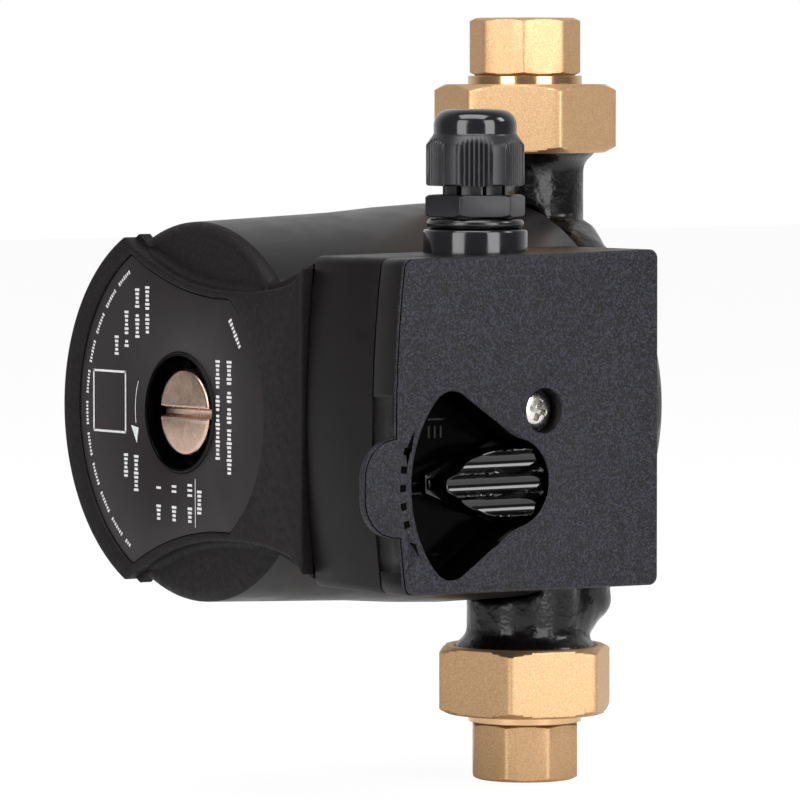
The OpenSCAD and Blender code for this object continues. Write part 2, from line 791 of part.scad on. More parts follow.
module terminal_box_base() color(plastic_black) difference() {
    union() {
        box_frame() difference() {
            box_slab(0, box_floor_x, box_seam_x);
            box_slab(-box_wall, inside_x, box_seam_x + cut);
        }
        box_frame() translate([-cover_screw_out, cover_screw_up, box_floor_x])
            cylinder(r = pillar_r, h = box_seam_x - box_floor_x);
        at_gland() bore(boss_r, boss_low, boss_top);
    }
    at_gland() bore(gland_thread_r + fit, thread_low - cut, boss_top + cut);
    box_frame() translate([-cover_screw_out, cover_screw_up, inside_x])
        cylinder(r = pillar_hole_r + seat, h = box_seam_x);
    box_frame() for (out = base_screw_out) translate([-out, 0, box_floor_x - cut])
        cylinder(r = base_screw_r + clear, h = box_floor_t + 2 * cut);
    box_frame() translate([-grommet_out, 0, box_floor_x - cut])
        cylinder(r = grommet_r, h = box_floor_t + 2 * cut);
}

module base_screws() color(steel_grey) box_frame() for (out = base_screw_out)
    translate([-out, 0, 0]) {
        translate([0, 0, inside_x - base_screw_len])
            cylinder(r = base_screw_r - fit, h = base_screw_len);
        translate([0, 0, inside_x]) cylinder(r = base_head_r, h = base_head_h);
    }

module lead_grommet() color(rubber_black) box_frame() translate([-grommet_out, 0, 0])
    lathe([[grommet_hole_r - clear, box_floor_x], [grommet_r - seat, box_floor_x],
        [grommet_r - seat, inside_x], [grommet_r + grommet_lip, inside_x],
        [grommet_r + grommet_lip, inside_x + grommet_lip],
        [grommet_hole_r - clear, inside_x + grommet_lip]]);

module terminal_block() color("ivory") box_frame() difference() {
    translate([block_at[0], block_at[1], inside_x]) cube(block_size);
    for (i = [0:block_ways - 1]) translate([block_at[0] + block_size[0] / 2,
        block_at[1] + block_size[1] * (i + 0.5) / block_ways, inside_x + block_size[2] / 2]) {
        cylinder(r = block_screw_r + seat, h = block_size[2]);
        rotate([0, 90, 0]) translate([0, 0, -block_size[0]])
            cylinder(r = block_screw_r / 2, h = 2 * block_size[0]);
    }
}

module terminal_screws() color(steel_grey) box_frame() for (i = [0:block_ways - 1])
    translate([block_at[0] + block_size[0] / 2,
        block_at[1] + block_size[1] * (i + 0.5) / block_ways, 0]) difference() {
        bore(block_screw_r, inside_x + block_size[2] / 2, inside_x + block_size[2] - block_screw_h);
        translate([-block_screw_r - cut, -block_screw_h / 2,
            inside_x + block_size[2] - 2 * block_screw_h])
            cube([2 * (block_screw_r + cut), block_screw_h, block_size[2]]);
    }

module earth_screw() color(brass_yellow) box_frame() translate(earth_at) difference() {
    bore(earth_r, inside_x, inside_x + earth_h);
    translate([-earth_r - cut, -block_screw_h / 2, inside_x + earth_h - block_screw_h])
        cube([2 * (earth_r + cut), block_screw_h, earth_h]);
}

module capacitor() color("gainsboro") box_frame() translate([cap_at[0], cap_at[1], inside_x])
    linear_extrude(cap_size[2]) polygon(rounded(
        [[0, 0], [cap_size[0], 0], [cap_size[0], cap_size[1]], [0, cap_size[1]]],
        [cap_edge_r, cap_edge_r, cap_edge_r, cap_edge_r]));

module at_knob() box_frame() translate([-knob_out, -knob_drop, 0]) children();

module speed_switch() color("dimgray") at_knob() {
    top = window_floor_x - window_floor_t - clear;
    difference() {
        union() {
            translate([-switch_half, -switch_half, top - switch_h])
                cube([2 * switch_half, 2 * switch_half, switch_h]);
            translate([-switch_half, -switch_half / 2, inside_x])
                cube([2 * switch_half, switch_half, top - switch_h - inside_x]);
        }
        bore(stem_r + fit, knob_low_x - stem_bore_len, top + cut);
        for (side = [-1, 1]) translate([side * switch_half, 0, top - switch_ear])
            cylinder(r = switch_ear, h = switch_ear + cut);
    }
}

// The grip seen from the front: a round end that runs out to a point
function grip_outline() = let (end = grip_half + grip_swell) concat(
    arc([0, 0], end, -grip_round_angle, grip_round_angle, 10),
    [for (i = [0:5]) let (t = i / 5) [-grip_tip * (t * 0.86 + 0.02), grip_half * cos(70 * t)]],
    [[-grip_tip, grip_half * 0.16], [-grip_tip, -grip_half * 0.16]],
    [for (i = [5:-1:0]) let (t = i / 5) [-grip_tip * (t * 0.86 + 0.02), -grip_half * cos(70 * t)]]);

module speed_knob() color("black") at_knob() {
    skirt_top = knob_low_x + skirt_t;
    difference() {
        union() {
            bore(skirt_r, knob_low_x, skirt_top);
            translate([0, 0, knob_low_x]) linear_extrude(skirt_t)
                polygon([[0, -skirt_r + fit], [-grip_tip - skirt_t, -mark_w], [-grip_tip - skirt_t, mark_w],
                    [0, skirt_r - fit]]);
            translate([0, 0, knob_low_x]) linear_extrude(knob_h) polygon(grip_outline());
        }
        for (i = [0:flutes - 1])
            translate([-grip_tip - cut, (i - (flutes - 1) / 2) * flute_pitch,
                knob_low_x + knob_h + flute_r / 3])
                rotate([0, 90, 0]) cylinder(r = flute_r, h = 2 * (grip_tip + cut));
    }
    bore(stem_r, knob_low_x - stem_len, knob_low_x + cut);
}

// Outline of the window over the speed marks
function window_outline(grow) =
    let (spread = window_half_spread, out = window_out, far_a = asin(spread / window_fan_r))
    concat(arc([0, 0], window_r + grow, -window_round_angle, window_round_angle, 12),
        corner_arc([0, window_r + grow], [-out + grow / 2, spread + grow],
            [-window_fan_r * cos(far_a * 0.8) - grow, window_fan_r * sin(far_a * 0.8)],
            window_corner_r, 6),
        [for (i = [-3:3]) let (a = 180 + far_a * i * 0.22) (window_fan_r + grow) * [cos(a), sin(a)]],
        corner_arc([-window_fan_r * cos(far_a * 0.8) - grow, -window_fan_r * sin(far_a * 0.8)],
            [-out + grow / 2, -spread - grow], [0, -window_r - grow], window_corner_r, 6));

// Thumb tab that hangs over the far side of the cover
function tab_outline() = let (half = tab_r, root = -box_far - box_bow + box_wall)
    rounded([[root, half + tab_fillet], [root - box_wall, half + tab_fillet / 2],
        [-box_far - tab_reach, half], [-box_far - tab_reach, -half],
        [root - box_wall, -half - tab_fillet / 2], [root, -half - tab_fillet]],
        [0, tab_fillet / 2, half * 0.8, half * 0.8, tab_fillet / 2, 0]);

// Bars raised on the window's floor: three, two and one
module speed_marks() for (place = [[-1, 3], [0, 2], [1, 1]])
    rotate(place[0] * speed_step) for (i = [0:place[1] - 1])
        translate([-window_fan_r + mark_w, (i - (place[1] - 1) / 2) * 2 * mark_w - mark_w / 2, 0])
            cube([mark_len, mark_w, mark_h]);

module terminal_box_cover() color(plastic_black) {
    difference() {
        union() {
            box_frame() difference() {
                box_slab(0, cover_low_x, box_face_x);
                box_slab(-box_wall, cover_low_x - cut, box_face_x - box_wall);
            }
            at_knob() translate([0, 0, window_floor_x - window_floor_t])
                linear_extrude(box_face_x - cut - window_floor_x + window_floor_t)
                    polygon(window_outline(window_floor_t));
            box_frame() translate([-cover_screw_out, cover_screw_up, recess_floor_x - window_floor_t])
                cylinder(r = screw_recess_r + window_floor_t, h = box_face_x - recess_floor_x);
            box_frame() translate([0, -knob_drop, box_face_x - tab_t])
                linear_extrude(tab_t) polygon(tab_outline());
        }
        at_knob() translate([0, 0, window_floor_x]) linear_extrude(window_depth + cut)
            polygon(window_outline(0));
        at_knob() bore(knob_floor_hole_r, inside_x, box_face_x);
        box_frame() translate([-cover_screw_out, cover_screw_up, 0]) {
            bore(screw_recess_r, recess_floor_x, box_face_x + cut);
            bore(screw_shank_r + clear, recess_floor_x - 2 * window_floor_t, recess_floor_x + cut);
        }
    }
    at_knob() translate([0, 0, window_floor_x]) speed_marks();
}

module cover_gasket() color(rubber_black) box_frame() difference() {
    box_slab(-gasket_w / 2, box_seam_x, cover_low_x);
    box_slab(-box_wall, box_seam_x - cut, cover_low_x + cut);
}

module cover_screw() color(steel_grey) box_frame() translate([-cover_screw_out, cover_screw_up, 0])
    difference() {
        union() {
            lathe([[0, recess_floor_x], [pan_r, recess_floor_x], [pan_r, recess_floor_x + pan_h / 2],
                [pan_r * 0.8, recess_floor_x + pan_h * 0.85], [0, recess_floor_x + pan_h]]);
            bore(pillar_hole_r, recess_floor_x - cover_screw_len, recess_floor_x + cut);
        }
        for (turn = [0, 90]) rotate(turn) translate([-pan_r / 2, -pan_slot_w / 2,
            recess_floor_x + pan_h / 2]) cube([pan_r, pan_slot_w, pan_h]);
    }

// Cable gland
module gland_body() color(plastic_black) at_gland() difference() {
    union() {
        bore(gland_thread_r, thread_low, hex_low + cut);
        rotate(gland_turn) flats_prism(gland_flats, 6, hex_low, hex_top, pan_slot_w);
        difference() {
            bore(finger_r, hex_top - cut, finger_top);
            for (i = [0:fingers / 2 - 1]) rotate((i + 0.5) * 360 / fingers)
                translate([-boss_r, -finger_slot_w / 2, hex_top])
                    cube([2 * boss_r, finger_slot_w, finger_top]);
        }
    }
    bore(finger_r - finger_wall, hex_low, finger_top + cut);
    bore(cable_r + clear, thread_low - cut, finger_top);
}

module gland_o_ring() color(rubber_black) at_gland() translate([0, 0, boss_top + ring_t])
    rotate_extrude() translate([ring_r, 0]) circle(r = ring_t, $fn = 24);

module gland_lock_nut() color(plastic_black) at_gland() difference() {
    rotate(30) flats_prism(lock_flats, 6, lock_top - lock_h, lock_top, pan_slot_w);
    bore(gland_thread_r + fit, lock_top - lock_h - cut, lock_top + cut);
}

module gland_seal() color(rubber_black) at_gland()
    tube(finger_r - finger_wall - seat, cable_r, hex_low, seal_in_gland_top);

// Radius of the cap nut at an angle from one of its corners: a hexagon with its corners clipped
function cap_edge(a) = min(cap_r, cap_flats / 2 / cos(a % 60 - 30));

module gland_cap_nut() color(plastic_black) at_gland() difference() {
    union() {
        translate([0, 0, cap_low]) rotate(cap_turn) linear_extrude(cap_rib_h)
            polygon([for (i = [0:2 * rib_count - 1]) let (a = i * 180 / rib_count)
                (cap_edge(a) - rib_depth * (i % 2)) * [cos(a), sin(a)]]);
        lathe(concat([[0, cap_rib_top - cut], [dome_foot_r, cap_rib_top - cut]],
            arc([dome_foot_r - dome_h * 0.7, dome_top - dome_h * 0.7], dome_h * 0.7, 0, 90, 8),
            [[0, dome_top]]));
    }
    bore(finger_r + fit, cap_low - cut, finger_top + clear);
    bore(dome_hole_r, cap_low, dome_top + cut);
}

// Unions
module union_nut(turn) difference() {
    rotate(turn) flats_prism(nut_flats, 6, nut_low, nut_top, 2 * nut_bevel);
    bore(union_thread_r + fit, nut_low - cut, nut_lip_low);
    bore(tail_barrel_r + clear, nut_low, nut_top + cut);
}

module tail(turn) difference() {
    union() {
        bore(tail_flange_r, tail_flange_low, tail_flange_top);
        bore(tail_barrel_r, tail_flange_low, oct_low);
        rotate(turn) flats_prism(tail_flats, 8, oct_low - tail_bevel, tail_end, 2 * tail_bevel);
    }
    bore(tail_bore_r, tail_flange_low - cut, tail_end);
    bore(tail_thread_r, oct_low, tail_end + cut);
}

module union_gasket() tube(gasket_r, port_bore_r, port_face, tail_flange_low);

module upper_union_nut() color(brass_yellow) pipe_frame(1) union_nut(upper_nut_turn);

module lower_union_nut() color(brass_yellow) pipe_frame(-1) union_nut(-lower_nut_turn);

module upper_tail() color(brass_yellow) pipe_frame(1) tail(upper_tail_turn);

module lower_tail() color(brass_yellow) pipe_frame(-1) tail(-lower_tail_turn);

module upper_gasket() color(rubber_black) pipe_frame(1) union_gasket();

module lower_gasket() color(rubber_black) pipe_frame(-1) union_gasket();

pump_housing();
motor_shell();
motor_screws();
housing_o_ring();
bearing_plate();
front_bearing();
rotor_can();
rear_bearing_carrier();
rear_bearing();
shaft();
thrust_washer();
rotor_core();
impeller();
stator_core();
stator_windings();
rating_plate();
vent_plug();
vent_plug_seal();
terminal_box_base();
base_screws();
lead_grommet();
terminal_block();
terminal_screws();
earth_screw();
capacitor();
speed_switch();
speed_knob();
cover_gasket();
terminal_box_cover();
cover_screw();
gland_body();
gland_o_ring();
gland_lock_nut();
gland_seal();
gland_cap_nut();
upper_union_nut();
lower_union_nut();
upper_tail();
lower_tail();
upper_gasket();
lower_gasket();
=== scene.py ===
"""Hot water circulation pump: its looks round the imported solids, laid out as a Blender add-on."""

import json
from math import acos, asin, atan2, cos, degrees, exp, hypot, pi, radians, sin, sqrt, tan

import bmesh
import bpy
import numpy as np
from bpy.props import FloatProperty, FloatVectorProperty, PointerProperty
from bpy.types import Operator, Panel, PropertyGroup
from mathutils import Matrix, Vector


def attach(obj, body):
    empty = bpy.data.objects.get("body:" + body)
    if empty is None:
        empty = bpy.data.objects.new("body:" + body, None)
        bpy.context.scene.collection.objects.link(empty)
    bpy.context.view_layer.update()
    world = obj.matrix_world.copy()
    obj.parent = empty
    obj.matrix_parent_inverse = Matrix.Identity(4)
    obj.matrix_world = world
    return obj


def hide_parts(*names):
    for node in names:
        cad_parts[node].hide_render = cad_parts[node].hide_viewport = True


bl_info = {
    "name": "Hot water circulation pump",
    "version": (1, 0, 0),
    "blender": (4, 5, 0),
    "location": "3D view > Sidebar > Pump",
    "description": "Castings, brass unions, terminal box and cable gland of a wet-rotor pump",
    "category": "Object",
}

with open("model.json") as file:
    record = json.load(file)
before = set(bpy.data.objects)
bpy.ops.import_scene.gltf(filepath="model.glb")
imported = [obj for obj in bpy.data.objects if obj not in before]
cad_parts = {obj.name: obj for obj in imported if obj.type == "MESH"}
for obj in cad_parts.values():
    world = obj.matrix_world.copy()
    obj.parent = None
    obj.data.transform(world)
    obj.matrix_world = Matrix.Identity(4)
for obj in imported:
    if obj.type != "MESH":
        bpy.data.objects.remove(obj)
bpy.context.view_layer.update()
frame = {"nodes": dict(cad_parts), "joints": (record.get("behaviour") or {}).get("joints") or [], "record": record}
MM = 0.001
MOUNTS = {m["name"]: m for m in frame["record"]["mounts"]}
JOINTS = {j["name"]: j for j in frame["joints"]}

# Heights and places in millimetres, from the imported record
AXIS_H = MOUNTS["upper_port"]["pos_m"][2] / MM / 2
GLAND_AT = [v / MM for v in MOUNTS["cable_entry"]["pos_m"][:2]]
KNOB_AT = [v / MM for v in JOINTS["speed_select"]["pos_m"]]

# The frames that the pieces are drawn in, as in the source of the solids
MOTOR = Matrix(((1, 0, 0, 0), (0, 0, -1, 0), (0, 1, 0, AXIS_H), (0, 0, 0, 1)))
BOX = Matrix(((0, 0, 1, 0), (1, 0, 0, 0), (0, 1, 0, AXIS_H), (0, 0, 0, 1)))
KNOB = BOX @ Matrix.Translation((KNOB_AT[1], KNOB_AT[2] - AXIS_H, 0))
UPWARDS = Matrix.Translation((0, 0, AXIS_H))
DOWNWARDS = UPWARDS @ Matrix.Rotation(pi, 4, "X")
GLAND = Matrix.Translation((*GLAND_AT, AXIS_H))
ROW = Matrix.Identity(4)

# On the cover: the middle of the speed window and of the screw's hole, and the window's floor
WINDOW_AT = (-66, -13)
SCREW_AT = (-57.5, 2.5)
WINDOW_FLOOR = 69.8

# Half height of the crest along its scallop, from the tip to the terminal box
SCALLOP = [(-22, 39.1), (-16.5, 36.6), (-10.7, 34.2), (-2.7, 31.2), (5.4, 29.3), (13.4, 28.3),
           (21.4, 28.0), (29.2, 28.1), (37, 29.0), (42, 30.0), (45, 31.4), (46.9, 33.6)]


def linear(hex_colour):
    """A hex colour as it is seen, turned to the linear values that shaders take."""
    parts = [int(hex_colour[i : i + 2], 16) / 255 for i in (1, 3, 5)]
    return tuple(c / 12.92 if c <= 0.04045 else ((c + 0.055) / 1.055) ** 2.4 for c in parts)


# Sizes and colours that a user would change
def colour(name, description, hex_colour):
    return FloatVectorProperty(
        name=name, description=description, subtype="COLOR", size=3, min=0, max=1, default=linear(hex_colour)
    )


def length(name, description, default):
    return FloatProperty(name=name, description=description, default=default * MM, unit="LENGTH", precision=5)


def angle(name, description, default):
    return FloatProperty(name=name, description=description, default=radians(default), subtype="ANGLE")


def number(name, description, default):
    return FloatProperty(name=name, description=description, default=default)


class PumpColours(PropertyGroup):
    """Colours of the pump's finishes"""

    enamel: colour("Housing enamel", "Gloss black enamel on the iron housing", "#060404")
    shell_paint: colour("Shell paint", "Satin black paint on the motor shell", "#0d0a0b")
    crest_paint: colour("Crest paint", "The same paint over the rough cast end", "#0d0a0a")
    foil: colour("Plate foil", "Printed foil of the rating plate", "#1c1719")
    ink: colour("Plate ink", "Light ink on the rating plate", "#c4c4c4")
    nickel: colour("Nickel", "Plating of the vent plug", "#c8ab9a")
    abs_side: colour("Box sides", "Moulded sides of the terminal box", "#0b0808")
    abs_face: colour("Cover face", "Spark-textured face of the cover", "#0e0e14")
    polished: colour("Polished plastic", "Speed window and knob", "#020202")
    nylon: colour("Gland nylon", "Cable gland", "#111115")
    brass: colour("Brass", "Blasted brass of the unions", "#cfaa80")
    zinc: colour("Zinc", "Plated screws", "#c9c6c0")
    rubber: colour("Rubber", "O-rings and seals", "#0a0a0a")


class PumpSizes(PropertyGroup):
    """Sizes of the edges and textures that only the looks have"""

    casting_voxel: length("Casting voxel", "Cell that the housing casting is rebuilt with", 0.8)
    crest_edge: length("Crest edge", "Radius of the crest's rounded edge", 0.9)
    cover_edge: length("Cover edge", "Radius round the face of the cover", 0.9)
    window_edge: length("Window edge", "Radius round the speed window", 0.35)
    pipe_thread: length("Pipe thread pitch", "Pitch of the G 1/2 threads in the tails", 1.814)
    thread_depth: length("Pipe thread depth", "Depth of those threads", 1.0)


class PumpStage(PropertyGroup):
    """Camera and light"""

    camera_at: FloatVectorProperty(
        name="Camera", description="Place of the camera", subtype="TRANSLATION",
        default=(1.16769, -0.91744, 0.16683),
    )
    azimuth: angle("Azimuth", "Turn of the camera round the pipe", 52.975)
    elevation: angle("Elevation", "Tilt of the camera downwards", 3.0)
    roll: angle("Roll", "Roll of the camera", -0.037)
    lens: number("Lens", "Focal length in millimetres", 284.84)
    ambient: number("Ambient", "Light of the room on matt surfaces", 0.22)
    near_room: number("Near room", "Room on the camera's side, in gloss", 0.12)
    far_room: number("Far room", "White backdrop behind the pump, in gloss", 0.8)
    softbox: number("Softbox", "Power of each softbox in watts", 14)


# Shaping tools, all in millimetres
def clamp(v):
    return min(1, max(0, v))


def unit(v):
    return v / np.linalg.norm(v)


def towards(turn):
    """Unit vector in the plane at an angle in degrees."""
    return np.array((cos(radians(turn)), sin(radians(turn))))


def arc(centre, r, start, end, steps):
    return [centre + r * towards(turn) for turn in np.linspace(start, end, steps + 1)]


def mirrored(points):
    """The same points on the other side of the x axis."""
    return [np.array((p[0], -p[1])) for p in points]


def corner_arc(a, b, c, r, steps):
    """Points of an arc that rounds the corner at b between a and c."""
    a, b, c = (np.array(p, float) for p in (a, b, c))
    p, q = unit(a - b), unit(c - b)
    half = acos(max(-1, min(1, p @ q))) / 2
    centre = b + unit(p + q) * r / sin(half)
    s, e = b + p * r / tan(half) - centre, b + q * r / tan(half) - centre
    return [centre + r * unit(s * (steps - i) + e * i) for i in range(steps + 1)]


def rounded(points, radii, steps=5):
    """A closed outline with its corners rounded; a radius of 0 leaves a corner as it is."""
    n, made = len(points), []
    for i, (p, r) in enumerate(zip(points, radii)):
        made += corner_arc(points[i - 1], p, points[(i + 1) % n], r, steps) if r > 0 else [np.array(p, float)]
    return made


def grown(points, d):
    """A closed outline that runs anticlockwise, moved outwards by d along its mitres."""
    pts = np.array(points, float)
    ahead = np.roll(pts, -1, 0) - pts
    ahead /= np.linalg.norm(ahead, axis=1)[:, None]
    normal = np.column_stack((ahead[:, 1], -ahead[:, 0]))
    mitre = normal + np.roll(normal, 1, 0)
    mitre /= np.maximum((mitre * normal).sum(1), 0.3)[:, None]
    return pts + mitre * d


def join(bm, a, b):
    """Faces between two rings of corners, or between a ring and one point."""
    n = max(len(a), len(b))
    for i in range(n):
        k = (i + 1) % n
        corners = [a[i % len(a)], a[k % len(a)], b[k % len(b)], b[i % len(b)]]
        corners = [v for at, v in enumerate(corners) if v not in corners[:at]]
        if len(corners) > 2:
            bm.faces.new(corners)


def spun(bm, rows, turns, closed=False):
    """Rings of (radius, height) round the z axis; a radius may be a function of the angle."""
    rings = []
    for radius, height in rows:
        ring = []
        for t in turns if callable(radius) or radius else turns[:1]:
            r = radius(t) if callable(radius) else radius
            z = height(t) if callable(height) else height
            ring.append(bm.verts.new((r * cos(t), r * sin(t), z)))
        rings.append(ring)
    for a, b in zip(rings, rings[1:] + rings[:1] if closed else rings[1:]):
        join(bm, a, b)
    return rings


def stacked(bm, outline, steps):
    """Walls that follow an outline through (outward growth, height) steps."""
    rings = [[bm.verts.new((*p, h)) for p in grown(outline, g)] for g, h in steps]
    for a, b in zip(rings, rings[1:]):
        join(bm, a, b)
    return rings


def prism(bm, outline, low, high, at=(0, 0)):
    """A solid with an outline's shape between two heights."""
    for ring in stacked(bm, [p + np.array(at) for p in outline], [(0, low), (0, high)]):
        bm.faces.new(ring)
    return bm


def filled(bm, *rings):
    """A flat face between rings that lie inside one another."""
    edges = []
    for ring in rings:
        for i, v in enumerate(ring):
            other = ring[(i + 1) % len(ring)]
            edges.append(bm.edges.get((v, other)) or bm.edges.new((v, other)))
    bmesh.ops.triangle_fill(bm, use_beauty=True, edges=edges)


def evenly(n):
    return [2 * pi * i / n for i in range(n)]


def at_flats(sides, turn, spread=(0, 0.5, 1.1, 2, 4, 8, 14)):
    """Angles round a prism, close together at its corners."""
    step = 360 / sides
    offsets = sorted({o for s in spread if s < step / 2 for o in (s, -s)} | {step / 2})
    return [radians(turn + i * step + o) for i in range(sides) for o in offsets]


def flats(width, sides, turn, soft):
    """Radius of a prism with softened corners, as a function of the angle."""
    step = 2 * pi / sides
    peak = width / 2 / cos(step / 2) - soft * 0.6

    def radius(t):
        side = width / 2 / cos((t - radians(turn)) % step - step / 2)
        h = max(soft - abs(side - peak), 0) / soft
        return min(side, peak) - h * h * soft / 4

    return radius


def under(radius, limit):
    return lambda t: min(radius(t), limit)


def solid_of(node, where=ROW):
    """A node's own mesh in millimetres in a drawing frame, welded, with flat faces whole again."""
    bm = bmesh.new()
    bm.from_mesh(frame["nodes"][node].data)
    bmesh.ops.scale(bm, vec=(1 / MM,) * 3, verts=bm.verts)
    bmesh.ops.remove_doubles(bm, verts=bm.verts, dist=0.002)
    made_flat(bm)
    bmesh.ops.recalc_face_normals(bm, faces=bm.faces)
    bm.transform(where.inverted())
    return bm


def made_flat(bm):
    bmesh.ops.dissolve_limit(bm, angle_limit=radians(0.6), verts=bm.verts, edges=bm.edges)


def bevelled(bm, edges, width, segments):
    bmesh.ops.bevel(bm, geom=edges, offset=width, segments=segments, profile=0.5, affect="EDGES",
                    clamp_overlap=False)


def soften(bm, width, chosen, segments=3, sharper=28):
    """Rounds the chosen edges where two faces meet at a sharper angle than this."""
    bm.normal_update()
    edges = [e for e in bm.edges if len(e.link_faces) == 2 and e.calc_face_angle(0) > radians(sharper)]
    bevelled(bm, [e for e in edges if all(chosen(v.co) for v in e.verts)], width, segments)


def mesh_of(name, bm):
    mesh = bpy.data.meshes.new(name)
    bm.to_mesh(mesh)
    bm.free()
    return mesh


def placed(name, data):
    made = bpy.data.objects.new(name, data)
    bpy.context.scene.collection.objects.link(made)
    return made


def taken_away(held):
    mesh = held.data
    bpy.data.objects.remove(held)
    bpy.data.meshes.remove(mesh)


def passed_through(bm, *steps):
    """The mesh after modifiers, each given as (type, settings)."""
    held = placed("work", mesh_of("work", bm))
    for kind, settings in steps:
        modifier = held.modifiers.new(kind.lower(), kind)
        for key, value in settings.items():
            setattr(modifier, key, value)
    made = bmesh.new()
    made.from_mesh(held.evaluated_get(bpy.context.evaluated_depsgraph_get()).to_mesh())
    taken_away(held)
    return made


def combined(bm, tool, operation="DIFFERENCE"):
    """One mesh cut by, or joined with, another."""
    bmesh.ops.recalc_face_normals(tool, faces=tool.faces)
    held = placed("tool", mesh_of("tool", tool))
    made = passed_through(bm, ("BOOLEAN", {"object": held, "operation": operation, "solver": "MANIFOLD"}))
    taken_away(held)
    return made


def block(bm, low, high):
    """A rectangular block between two corners."""
    made = bmesh.ops.create_cube(bm, size=1)["verts"]
    low, high = Vector(low), Vector(high)
    bmesh.ops.scale(bm, vec=high - low, verts=made)
    bmesh.ops.translate(bm, vec=(high + low) / 2, verts=made)
    return made


def piece(name, bm, where, finishes, nodes=(), body="pump_body", choose=None, crease=32):
    """Makes an object of a mesh drawn in millimetres, and gives it its body and finishes.

    Where there are more finishes, choose gives a face's, from its middle, with the height
    counted from the motor axis, and its normal.
    """
    bmesh.ops.recalc_face_normals(bm, faces=bm.faces)
    bm.transform(Matrix.Scale(MM, 4) @ where)
    bm.normal_update()
    for face in bm.faces:
        face.smooth = True
        if choose:
            x, y, z = face.calc_center_median() / MM
            face.material_index = int(choose(x, y, z - AXIS_H, face.normal))
    mesh = mesh_of(name, bm)
    mesh.set_sharp_from_angle(angle=radians(crease))
    for finish in finishes:
        mesh.materials.append(bpy.data.materials[finish])
    made = placed(name, mesh)
    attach(made, body)
    if nodes:
        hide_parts(*nodes)
    return made


# Outlines that the pieces share
def box_plan(grow=0.0):
    """Plan of the terminal box: x along Y, y up from the motor axis, its far side bowed."""
    far, near, up_far, up_near, bulge = -95.8, -25.2, 36.4, 37.4, 2.5
    bow_r = (up_far**2 + bulge**2) / 2 / bulge
    # the bow ends at eight tenths of the side, where the corners begin
    reach = 0.8 * degrees(asin(up_far / bow_r))
    bow = arc((far + bow_r - bulge, 0), bow_r, 180 - reach, 180 + reach, 16)
    a, b, c, d = (near, up_near), (far, up_far), (far, -up_far), (near, -up_near)
    plan = corner_arc(a, b, bow[0], 2, 6) + bow
    for corner in ((bow[-1], c, d), (c, d, a), (d, a, b)):
        plan += corner_arc(*corner, 2, 6)
    return grown(plan, grow)


def window_outline():
    """The speed window round the knob's axis: a round end, straight sides and a wide arc."""
    vertex, side, on_arc, centre = (-17.75, 22.24), (-1.6, 11.37), (-22, 17.77), 1.09
    upper = [np.array(p) for p in ((3.04, 9.37), (1.9, 9.68), (0.7, 10.1), (-0.5, 10.68), side)]
    upper += corner_arc(side, vertex, on_arc, 5.5, 8)
    lean = degrees(atan2(on_arc[1], centre - on_arc[0]))
    wide = arc((centre, 0), 29.14, 180 - lean, 180 + lean, 20)
    return arc((0, 0), 9.85, -68, 68, 24) + upper + wide + mirrored(upper[::-1])


def tab_outline():
    """The thumb tab, level with the knob."""
    corners = [(-90, 11.4), (-98.6, 10.9), (-106.7, 9.6), (-106.7, -9.6), (-98.6, -10.9), (-90, -11.4)]
    return rounded(corners, [0, 0, 8.5, 8.5, 0, 0], steps=8)


def scallop_line(steps=36):
    """The scallop as a smooth line of points."""
    xs, ys = np.array(SCALLOP).T
    at = np.linspace(xs[0], xs[-1], 400)
    kernel = np.hanning(31)
    padded = np.pad(np.interp(at, xs, ys), 15, mode="reflect", reflect_type="odd")
    height = np.convolve(padded, kernel / kernel.sum(), "valid")
    return [np.array((at[i], height[i])) for i in np.linspace(0, 399, steps + 1).astype(int)]


def crest_outline():
    """The crest: a scallop above and below, and a wide round side on the left."""
    line = scallop_line()
    left, (x, y) = -46.25, line[0]
    middle = (left**2 - x * x - y * y) / 2 / (left - x)
    tip = degrees(atan2(y, x - middle))
    return line[::-1] + arc((middle, 0), middle - left, tip, 360 - tip, 60)[1:-1] + mirrored(line)


def plate_outline(grow=0.0):
    """The rating plate: a wide arc on the left, a tighter one on the right, drawn in at the scallops."""
    reach, left, right, scallop_r, scallop_x = 26.0 + grow, 39.8 + grow, 32.5 + grow, 78, 18

    def edge(x):
        return reach + scallop_r - sqrt(scallop_r**2 - (x - scallop_x) ** 2)

    xs = np.linspace(-40, 34, 1500)
    inside = [x for x in xs if edge(x) ** 2 + x * x < (left if x < 0 else right) ** 2]
    top = [np.array((x, edge(x))) for x in np.linspace(inside[0], inside[-1], 26)]
    start, end = (degrees(atan2(p[1], p[0])) for p in (top[0], top[-1]))
    left_arc = arc((0, 0), left, start, 360 - start, 40)[1:-1]
    return top[::-1] + left_arc + mirrored(top) + arc((0, 0), right, -end, end, 30)[1:-1]


# Finishes
def add(tree, kind, inputs=None, **settings):
    """Adds one shader node, sets its properties, and fills or links its sockets."""
    made = tree.nodes.new("ShaderNode" + kind)
    for key, value in settings.items():
        setattr(made, key, value)
    for key, value in (inputs or {}).items():
        if isinstance(value, bpy.types.Node):
            value = value.outputs[0]
        if isinstance(value, bpy.types.NodeSocket):
            tree.links.new(value, made.inputs[key])
        else:
            made.inputs[key].default_value = value
    return made


def per_mm(size):
    """Scale of a pattern whose cells are this many millimetres across."""
    return 1 / (size * MM)


